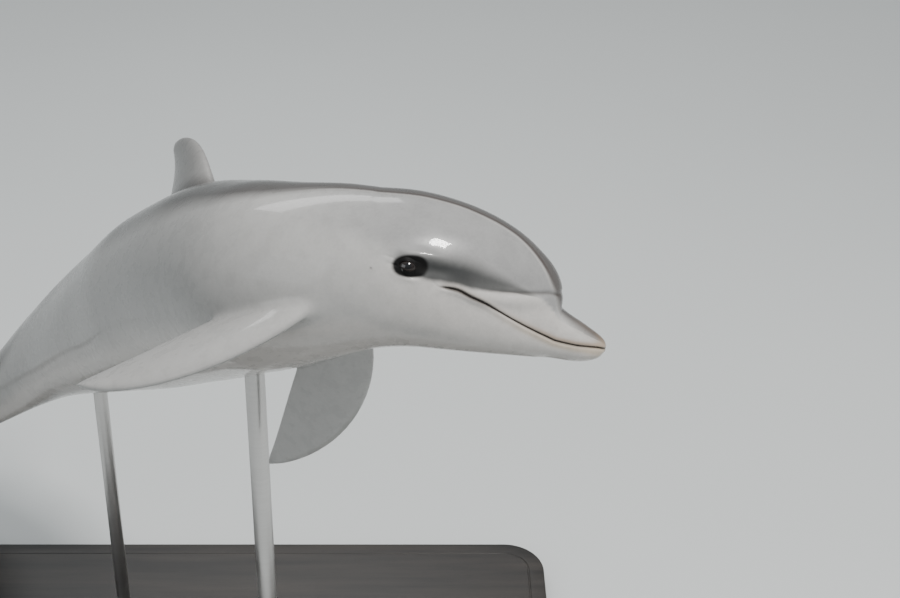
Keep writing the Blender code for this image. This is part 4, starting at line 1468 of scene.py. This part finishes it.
@dataclass(frozen=True)
class DolphinSkin:
    """Wet rubbery skin: grey flank, dark cape, pale belly and the marks of the face, with painted shade
    in the hollow before the eye, in the slits and in the openings, and a painted highlight beside the
    cape's edge.
    """

    flank: Colour = (0.402, 0.395, 0.385)
    melon: Colour = (0.272, 0.270, 0.269)
    cape: Colour = (0.095, 0.088, 0.085)
    rim: Colour = (0.062, 0.050, 0.046)
    belly: Colour = (0.520, 0.492, 0.468)
    dark: Colour = (0.0035, 0.0034, 0.0034)
    # Painted shade: dark brown laid into the mouth's slit, the crease, the openings and the ear.
    lip: Colour = (0.028, 0.020, 0.015)
    # Painted shade: near-black tone of the band in the hollow under the melon.
    painted_hollow_shade: Colour = (0.010, 0.012, 0.013)
    pink: Colour = (0.545, 0.455, 0.350)
    tan: Colour = (0.225, 0.160, 0.110)
    roughness: float = 0.27
    wander: float = 0.55
    # How strongly the painted shade under the melon is laid on.
    painted_hollow_shade_strength: float = 0.90
    lip_strengths: Tuple[Tuple[str, float], ...] = (("tan", 0.75), ("pink", 0.80))
    coat: float = 0.60
    matt_roughness: float = 0.30

    def material(self) -> bpy.types.Material:
        """Builds the material."""
        n = Nodes("dolphin_skin_wet")
        cloud, grain, speck = n.noise(5.5, 4.0), n.noise(48.0, 5.0), n.noise(240.0, 3.0)
        colour = self._coat_pattern(n, n.sway(cloud, self.wander))
        # Painted shade: dark band in the hollow from the eye to the melon's foot, under the melon's
        # overhang.
        painted_hollow_shade = self._painted_hollow_shade(n, grain)
        colour = n.mix(n.maths("MULTIPLY", painted_hollow_shade, self.painted_hollow_shade_strength), colour, self.painted_hollow_shade)
        for mark, strength in self.lip_strengths:
            colour = n.mix(n.maths("MULTIPLY", n.mark(mark), strength), colour, getattr(self, mark))
        colour = n.shade(colour, n.maths("MULTIPLY", n.span(grain, 0.25, 0.75, 0.94, 1.06),
                                         n.span(speck, 0.3, 0.7, 0.965, 1.035)))
        edge = n.maths("ADD", n.mark("patch"), n.sway(grain, 0.10))
        dark = n.span(edge, 0.86, 1.14, 1.0, 0.0, True)
        colour = n.mix(dark, colour, self.dark)
        # Painted shade in the mouth's slit, the crease, the openings and round the ear.
        colour = n.mix(n.maths("MULTIPLY", n.mark("deep"), 0.94), colour, self.lip)
        n.bump(grain, 0.0006, 0.25)
        n.bump(speck, 0.00012, 0.5)
        matt = n.maths("MAXIMUM", dark, n.maths("MULTIPLY", painted_hollow_shade, 0.8))
        rough = n.span(grain, 0.25, 0.75, self.roughness - 0.05, self.roughness + 0.08)
        rough = n.maths("ADD", rough, n.maths("MULTIPLY", matt, self.matt_roughness))
        coat = n.maths("MULTIPLY", n.maths("SUBTRACT", 1.0, matt), self.coat)
        return n.finish(Base_Color=colour, Roughness=rough, Coat_Weight=coat, Coat_Roughness=0.055,
                        Coat_IOR=1.38, Specular_IOR_Level=0.15)

    def _coat_pattern(self, n: Nodes, wander: object) -> bpy.types.NodeSocket:
        """Flank, melon, cape with a dark line along its edge and a painted highlight in a pale line
        beside it, and belly.
        """
        colour = n.mix(n.mark("melon"), self.flank, self.melon)
        colour = n.mix(n.span(n.maths("ADD", n.mark("cape"), wander), 0.12, 0.92), colour, self.cape)
        # A dark line just inside the cape's edge, and just outside it a pale line in the belly's colour
        # that is a painted highlight of wet sheen.
        for shift, core, end, strength, tone in ((0.42, 0.10, 0.42, 0.85, self.rim),
                                                 (-0.22, 0.05, 0.28, 0.28, self.belly)):
            away = n.maths("ABSOLUTE", n.maths("ADD", n.mark("rim"), shift))
            line = n.span(away, core, end, strength, 0.0, True)
            colour = n.mix(n.maths("MULTIPLY", line, n.mark("edge_line_and_sheen")), colour, tone)
        pale = n.span(n.maths("ADD", n.mark("pale"), wander), 0.10, 0.95)
        return n.mix(pale, colour, self.belly)

    @staticmethod
    def _painted_hollow_shade(n: Nodes, grain: object) -> bpy.types.NodeSocket:
        """Painted shade of the hollow from the eye to the melon's foot, as a dark band: soft above,
        firmer below.
        """
        across = n.maths("ADD", n.mark("across"), n.sway(grain, 0.16))
        body = n.maths("MULTIPLY", n.span(across, -0.24, 0.50, soft=True),
                       n.span(across, 0.86, 1.10, 1.0, 0.0, True))
        return n.maths("MULTIPLY", body, n.mark("painted_hollow_shade"))


@dataclass(frozen=True)
class EyeGloss:
    """Dark brown wet eye with a black pupil."""

    iris: Colour = (0.008, 0.005, 0.004)
    pupil: Colour = (0.002, 0.002, 0.003)
    fibre: Colour = (0.013, 0.008, 0.006)
    white: Colour = (0.012, 0.010, 0.009)

    def material(self) -> bpy.types.Material:
        """Builds the material."""
        n = Nodes("eye_wet")
        polar = n.mark("polar")
        streaks = n.noise(900.0, 4.0)
        iris = n.mix(n.span(streaks, 0.35, 0.7), self.iris, self.fibre)
        colour = n.mix(n.span(polar, 0.26, 0.34), self.pupil, iris)
        colour = n.mix(n.span(polar, 0.62, 0.74), colour, self.white)
        return n.finish(Base_Color=colour, Roughness=0.10, Coat_Weight=1.0, Coat_Roughness=0.02,
                        Specular_IOR_Level=0.5)


@dataclass(frozen=True)
class BlackWood:
    """Black-stained wood under satin varnish, with the grain just showing."""

    stain: Colour = (0.017, 0.015, 0.014)
    light: Colour = (0.045, 0.038, 0.033)
    pore: Colour = (0.008, 0.007, 0.007)

    def material(self) -> bpy.types.Material:
        """Builds the material."""
        n = Nodes("stand_wood_black")
        place = n.add("Mapping", Vector=n.add("TexCoord").outputs["Object"], Scale=(1.0, 14.0, 6.0))
        figure = n.noise(3.2, 6.0, place.outputs[0])
        pores = n.noise(120.0, 2.0, place.outputs[0])
        colour = n.mix(n.span(figure, 0.35, 0.75), self.stain, self.light)
        colour = n.mix(n.span(pores, 0.60, 0.72, 0.0, 0.6), colour, self.pore)
        n.bump(pores, 0.00025, 0.5)
        n.bump(figure, 0.0003, 0.3)
        rough = n.span(figure, 0.3, 0.7, 0.34, 0.46)
        return n.finish(Base_Color=colour, Roughness=rough, Coat_Weight=0.25, Coat_Roughness=0.2)


@dataclass(frozen=True)
class BrushedSteel:
    """Stainless steel brushed round the rods."""

    metal: Colour = (0.56, 0.55, 0.54)
    bright: Colour = (0.60, 0.59, 0.58)

    def material(self) -> bpy.types.Material:
        """Builds the material."""
        n = Nodes("stand_steel_brushed")
        place = n.add("Mapping", Vector=n.add("TexCoord").outputs["Object"], Scale=(3.0, 3.0, 150.0))
        lines = n.noise(2.0, 3.0, place.outputs[0])
        smudge = n.noise(14.0, 3.0)
        colour = n.mix(n.span(lines, 0.3, 0.7), self.metal, self.bright)
        rough = n.maths("ADD", n.span(lines, 0.3, 0.7, 0.30, 0.36), n.span(smudge, 0.4, 0.7, 0.0, 0.06))
        n.bump(lines, 0.00003, 0.2)
        return n.finish(Base_Color=colour, Metallic=1.0, Roughness=rough)


@dataclass(frozen=True)
class FloorPaint:
    """Pale matt studio floor."""

    paint: Colour = (0.66, 0.68, 0.68)

    def material(self) -> bpy.types.Material:
        """Builds the material."""
        n = Nodes("floor_pale")
        tone = n.span(n.noise(0.8, 3.0), 0.3, 0.7, 0.98, 1.02)
        return n.finish(Base_Color=n.shade(self.paint, tone), Roughness=0.85)


# ------------------------------------------------------------------ pieces
def make_piece(name: str, bm: bmesh.types.BMesh, finish: bpy.types.Material,
               replaced: Sequence[str], crisp: bool = False) -> bpy.types.Object:
    """Turns a mesh into a piece of the model.

    Args:
        name: The piece's name.
        bm: Its mesh, freed here.
        finish: Its material.
        replaced: The CAD nodes that it stands for.
        crisp: Keeps the edges between its flat and round faces sharp.
    Returns:
        The piece.
    """
    mesh = bpy.data.meshes.new(name)
    bm.to_mesh(mesh)
    bm.free()
    piece = bpy.data.objects.new(name, mesh)
    bpy.context.scene.collection.objects.link(piece)
    mesh.materials.append(finish)
    mesh.shade_smooth()
    if crisp:
        mesh.set_sharp_from_angle(angle=math.radians(35))
    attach(piece, "root")
    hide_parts(*replaced)
    LOG.info("%s: %d faces, stands for %s", name, len(mesh.polygons), ", ".join(replaced))
    return piece


def ease_edges(bm: bmesh.types.BMesh, edges: Sequence[bmesh.types.BMEdge], offset: float,
               steps: int) -> None:
    """Rounds edges by an offset in a number of steps."""
    bmesh.ops.bevel(bm, geom=edges, offset=offset, offset_type="OFFSET", segments=steps, profile=0.5,
                    affect="EDGES", material=-1)


@dataclass
class Animal:
    """The skin and the eyes."""

    markings: Markings = field(default_factory=Markings)
    unwrap: Unwrap = field(default_factory=Unwrap)
    flesh: Tuple[str, ...] = (
        "beak_upper", "lower_jaw", "melon", "head", "chest", "trunk", "tail_stock_front",
        "tail_stock_rear", "dorsal_fin", "flipper_right", "flipper_left", "fluke_left", "fluke_right")

    def build(self) -> None:
        """Builds the skin, then both eyes."""
        self.skin()
        for side, name in ((-1, "right"), (1, "left")):
            self.eye(side, name)

    def skin(self) -> None:
        """One closed skin over the whole animal."""
        mesh = SkinMesh()
        for opening in (eye_opening(-1), eye_opening(1), blowhole_opening(), ear_opening(-1),
                        ear_opening(1)):
            opening.build(mesh)
        for fin in (dorsal_fin(), FLIPPERS[0].fin(), FLIPPERS[1].fin(), fluke(4, 1), fluke(5, -1)):
            fin.build(mesh)
        mesh.settle()
        bmesh.ops.recalc_face_normals(mesh.bm, faces=mesh.bm.faces)
        if mesh.bm.calc_volume(signed=True) < 0:
            bmesh.ops.reverse_faces(mesh.bm, faces=mesh.bm.faces)
        piece = make_piece("skin", mesh.bm, DolphinSkin().material(), self.flesh)
        data = {name: self._read(piece.data, name, kind) for name, kind in (
            ("station", float), ("angle", float), ("span", float), ("turn", float),
            ("covers", int), ("part", int))}
        for name, values in self.markings.fields(
                data["station"], data["angle"], data["covers"], data["part"], data["span"],
                data["turn"]).items():
            piece.data.attributes.new(name, "FLOAT", "POINT").data.foreach_set(
                "value", values.astype(np.float32))
        self.unwrap.apply(piece.data, data)
        for name in ("station", "angle", "lift", "span", "turn", "plain", "covers", "part", "ready"):
            piece.data.attributes.remove(piece.data.attributes[name])

    @staticmethod
    def _read(mesh: bpy.types.Mesh, name: str, kind: type) -> Array:
        """A point attribute as an array."""
        values = np.empty(len(mesh.vertices), np.float32 if kind is float else np.int32)
        mesh.attributes[name].data.foreach_get("value", values)
        return values.astype(kind)

    @staticmethod
    def eye(side: int, name: str) -> None:
        """One eyeball, slightly fuller over the iris."""
        centre, look = EYE.centre(side)
        bm = bmesh.new()
        polar = bm.verts.layers.float.new("polar")
        bmesh.ops.create_uvsphere(bm, u_segments=64, v_segments=48, radius=EYE.radius)
        for v in bm.verts:
            v[polar] = math.acos(max(-1.0, min(1.0, v.co.z / EYE.radius)))
            v.co *= 1 + 0.035 * float(bell(v[polar], 0.42))
        turn = Vector(look).to_track_quat("Z", "Y").to_matrix().to_4x4()
        bmesh.ops.transform(bm, matrix=Matrix.Translation(Vector(centre)) @ turn, verts=bm.verts)
        make_piece("eyeball_" + name, bm, EyeGloss().material(), ("eye_" + name,))


@dataclass
class Stand:
    """A black board with two steel rods and their collars."""

    board: Tuple[float, float, float] = (1.10, 0.76, 0.030)
    corner: float = 0.070
    edge: float = 0.004
    collar_radius: float = 0.042
    collar_height: float = 0.014
    gap: float = 0.0003
    groove: float = 0.0012
    screws: int = 3
    screw_radius: float = 0.0042
    screw_height: float = 0.0028
    socket_depth: float = 0.0016

    def build(self) -> None:
        """Builds the board, then each rod with its collar."""
        steel, wood = BrushedSteel().material(), BlackWood().material()
        self.base(wood)
        for name in ("front", "rear"):
            low, high = (Vector(c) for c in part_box("stand_rod_" + name))
            centre, radius = (low + high) / 2, (high.x - low.x) / 2
            self.rod(name, centre, radius, low.z, high.z, steel)
            self.collar(name, centre, radius, steel)

    def base(self, wood: bpy.types.Material) -> None:
        """The board, with round corners and an eased edge."""
        bm = bmesh.new()
        bmesh.ops.create_cube(bm, size=1)
        bmesh.ops.scale(bm, verts=bm.verts, vec=Vector(self.board))
        bmesh.ops.translate(bm, verts=bm.verts, vec=Vector((0, 0, self.board[2] / 2)))
        upright = [e for e in bm.edges if abs(e.verts[0].co.z - e.verts[1].co.z) > 0.01]
        ease_edges(bm, upright, self.corner, 24)
        for top, offset, steps in ((True, self.edge, 5), (False, 0.0015, 2)):
            rim = [e for e in bm.edges if all((v.co.z > self.board[2] / 2) == top for v in e.verts)
                   and abs(e.calc_face_angle(0.0)) > 1.0]
            ease_edges(bm, rim, offset, steps)
        top = max(bm.faces, key=lambda f: f.calc_center_median().z * 10 + f.calc_area())
        for wide, deep in ((0.022, 0.0), (self.groove, -self.groove), (0.0016, 0.0),
                           (self.groove, self.groove)):
            bmesh.ops.inset_region(bm, faces=[top], thickness=wide, depth=deep)
        make_piece("stand_board", bm, wood, ("stand_base",), crisp=True)

    @staticmethod
    def rod(name: str, centre: Vector, radius: float, low: float, high: float,
            steel: bpy.types.Material) -> None:
        """One upright rod."""
        bm = bmesh.new()
        bmesh.ops.create_cone(bm, cap_ends=True, segments=64, radius1=radius, radius2=radius,
                              depth=high - low)
        bmesh.ops.translate(bm, verts=bm.verts, vec=Vector((centre.x, centre.y, (low + high) / 2)))
        caps = [e for e in bm.edges if abs(e.verts[0].co.z - e.verts[1].co.z) < 1e-6]
        ease_edges(bm, caps, 0.0012, 3)
        make_piece("stand_post_" + name, bm, steel, ("stand_rod_" + name,), crisp=True)

    def collar(self, name: str, centre: Vector, radius: float, steel: bpy.types.Material) -> None:
        """The turned collar round a rod's foot, with its screws."""
        low = self.board[2] + self.gap
        high, bore, edge = low + self.collar_height, radius + self.gap, 0.0008
        rim, neck = self.collar_radius, radius + 0.0122
        profile = ((bore, low), (rim - edge, low), (rim, low + edge), (rim, low + 0.0045),
                   (rim - 0.0005, low + 0.0056), (rim - 0.0018, low + 0.006), (neck, low + 0.006),
                   (radius + 0.0104, low + 0.0066), (radius + 0.0094, low + 0.0080),
                   (radius + 0.0074, high - 0.0015), (radius + 0.0064, high - 0.0003),
                   (radius + 0.0052, high), (bore + 0.0006, high), (bore, high - 0.0006))
        bm = bmesh.new()
        foot = Vector((centre.x, centre.y, 0))
        verts = [bm.verts.new(foot + Vector((r, 0, z))) for r, z in profile]
        edges = [bm.edges.new((verts[i], verts[(i + 1) % len(verts)])) for i in range(len(verts))]
        bmesh.ops.spin(bm, geom=verts + edges, cent=foot, axis=Vector((0, 0, 1)), angle=2 * math.pi,
                       steps=96, use_merge=True)
        middle = (neck + rim) / 2
        for k in range(self.screws):
            turn = 2 * math.pi * (k + 0.5) / self.screws
            self._screw(bm, foot + Vector((middle * math.cos(turn), middle * math.sin(turn),
                                           low + 0.0058)))
        bmesh.ops.recalc_face_normals(bm, faces=bm.faces)
        make_piece("stand_flange_" + name, bm, steel, ("stand_collar_" + name,),
                   crisp=True)

    def _screw(self, bm: bmesh.types.BMesh, place: Vector) -> None:
        """A low socket screw head."""
        made = bmesh.ops.create_cone(bm, cap_ends=True, segments=30, radius1=self.screw_radius,
                                     radius2=self.screw_radius, depth=self.screw_height)["verts"]
        bmesh.ops.translate(bm, verts=made, vec=place + Vector((0, 0, 0.0012)))
        fresh = set(made)
        top = max((f for f in bm.faces if fresh.issuperset(f.verts)),
                  key=lambda f: f.calc_center_median().z)
        ease_edges(bm, list(top.edges), 0.0010, 4)
        near = [f for f in bm.faces if (f.calc_center_median() - place).length < 0.006]
        top = max(near, key=lambda f: f.calc_center_median().z + (0.001 if len(f.verts) > 6 else 0))
        bmesh.ops.inset_region(bm, faces=[top], thickness=0.0012)
        bmesh.ops.inset_region(bm, faces=[top], thickness=0.00012, depth=-self.socket_depth)


# ------------------------------------------------------------------ studio
@dataclass(frozen=True)
class Lamp:
    """One soft light: where it hangs, what it points at, its sides in metres, watts and colour."""

    name: str
    place: Tuple[float, float, float]
    aim: Tuple[float, float, float]
    size: Tuple[float, float]
    power: float
    colour: Colour

    def build(self) -> None:
        """Hangs the light."""
        lamp = bpy.data.lights.new(self.name, "AREA")
        lamp.shape = "RECTANGLE"
        lamp.size, lamp.size_y = self.size
        lamp.energy, lamp.color = self.power, self.colour
        holder = bpy.data.objects.new(self.name, lamp)
        holder.location = self.place
        look = Vector(self.aim) - Vector(self.place)
        holder.rotation_euler = look.to_track_quat("-Z", "Y").to_euler()
        bpy.context.scene.collection.objects.link(holder)


@dataclass
class Studio:
    """Floor, soft lights and the camera."""

    lamps: Tuple[Lamp, ...] = (
        Lamp("key", (1.7, -1.3, 3.9), (0.2, -0.2, 0.95), (0.55, 0.55), 172.0, (1.0, 0.985, 0.96)),
        Lamp("fill", (-2.6, -2.4, 2.6), (0.0, -0.1, 0.8), (2.6, 2.0), 22.0, (0.93, 0.97, 1.0)),
        Lamp("rim", (-0.6, 2.2, 3.1), (0.1, 0.0, 0.9), (2.4, 0.8), 40.0, (1.0, 1.0, 1.0)),
    )
    distance: float = 2.2
    elevation: float = 32.0
    lens: float = 71.1
    sensor: float = 36.0
    shift: Tuple[float, float] = (0.0444, -0.0363)
    floor_size: float = 60.0
    horizon: Colour = (0.205, 0.222, 0.228)
    zenith: Colour = (0.400, 0.425, 0.435)

    def build(self) -> None:
        """Builds the floor, the lights and the camera."""
        self.floor()
        for lamp in self.lamps:
            lamp.build()
        self.world()
        self.camera()

    def floor(self) -> None:
        """The pale floor."""
        bm = bmesh.new()
        bmesh.ops.create_grid(bm, x_segments=1, y_segments=1, size=self.floor_size / 2)
        mesh = bpy.data.meshes.new("floor")
        bm.to_mesh(mesh)
        bm.free()
        floor = bpy.data.objects.new("floor", mesh)
        bpy.context.scene.collection.objects.link(floor)
        mesh.materials.append(FloorPaint().material())

    def world(self) -> None:
        """Pale surroundings, brighter overhead than at the horizon."""
        world = bpy.data.worlds.new("studio")
        world.use_nodes = True
        tree = world.node_tree
        place = tree.nodes.new("ShaderNodeTexCoord")
        split = tree.nodes.new("ShaderNodeSeparateXYZ")
        rise = tree.nodes.new("ShaderNodeMapRange")
        tone = tree.nodes.new("ShaderNodeMix")
        tone.data_type = "RGBA"
        rise.inputs["From Min"].default_value, rise.inputs["From Max"].default_value = 0.0, 0.9
        tone.inputs[6].default_value, tone.inputs[7].default_value = (*self.horizon, 1), (*self.zenith, 1)
        background = tree.nodes["Background"]
        tree.links.new(place.outputs["Generated"], split.inputs[0])
        tree.links.new(split.outputs["Z"], rise.inputs["Value"])
        tree.links.new(rise.outputs[0], tone.inputs[0])
        tree.links.new(tone.outputs[2], background.inputs["Color"])
        background.inputs["Strength"].default_value = 1.0
        bpy.context.scene.world = world

    def camera(self) -> None:
        """The camera, looking across the head from above."""
        lens = bpy.data.cameras.new("camera")
        lens.lens, lens.sensor_width = self.lens, self.sensor
        lens.shift_x, lens.shift_y = self.shift
        camera = bpy.data.objects.new("camera", lens)
        tilt = math.radians(self.elevation)
        aim = Vector(SPINE.anchor)
        camera.location = aim - Vector((0, math.cos(tilt), -math.sin(tilt))) * self.distance
        camera.rotation_euler = (math.pi / 2 - tilt, 0, 0)
        bpy.context.scene.collection.objects.link(camera)
        bpy.context.scene.camera = camera


def main() -> None:
    """Loads the frame, builds every piece and notes the sizes."""
    logging.basicConfig(level=logging.INFO, format="%(name)s: %(message)s")
    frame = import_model()
    LOG.info("frame with %d nodes", len(frame.get("nodes", ())))
    Animal().build()
    Stand().build()
    Studio().build()


if __name__ == "__main__":
    main()
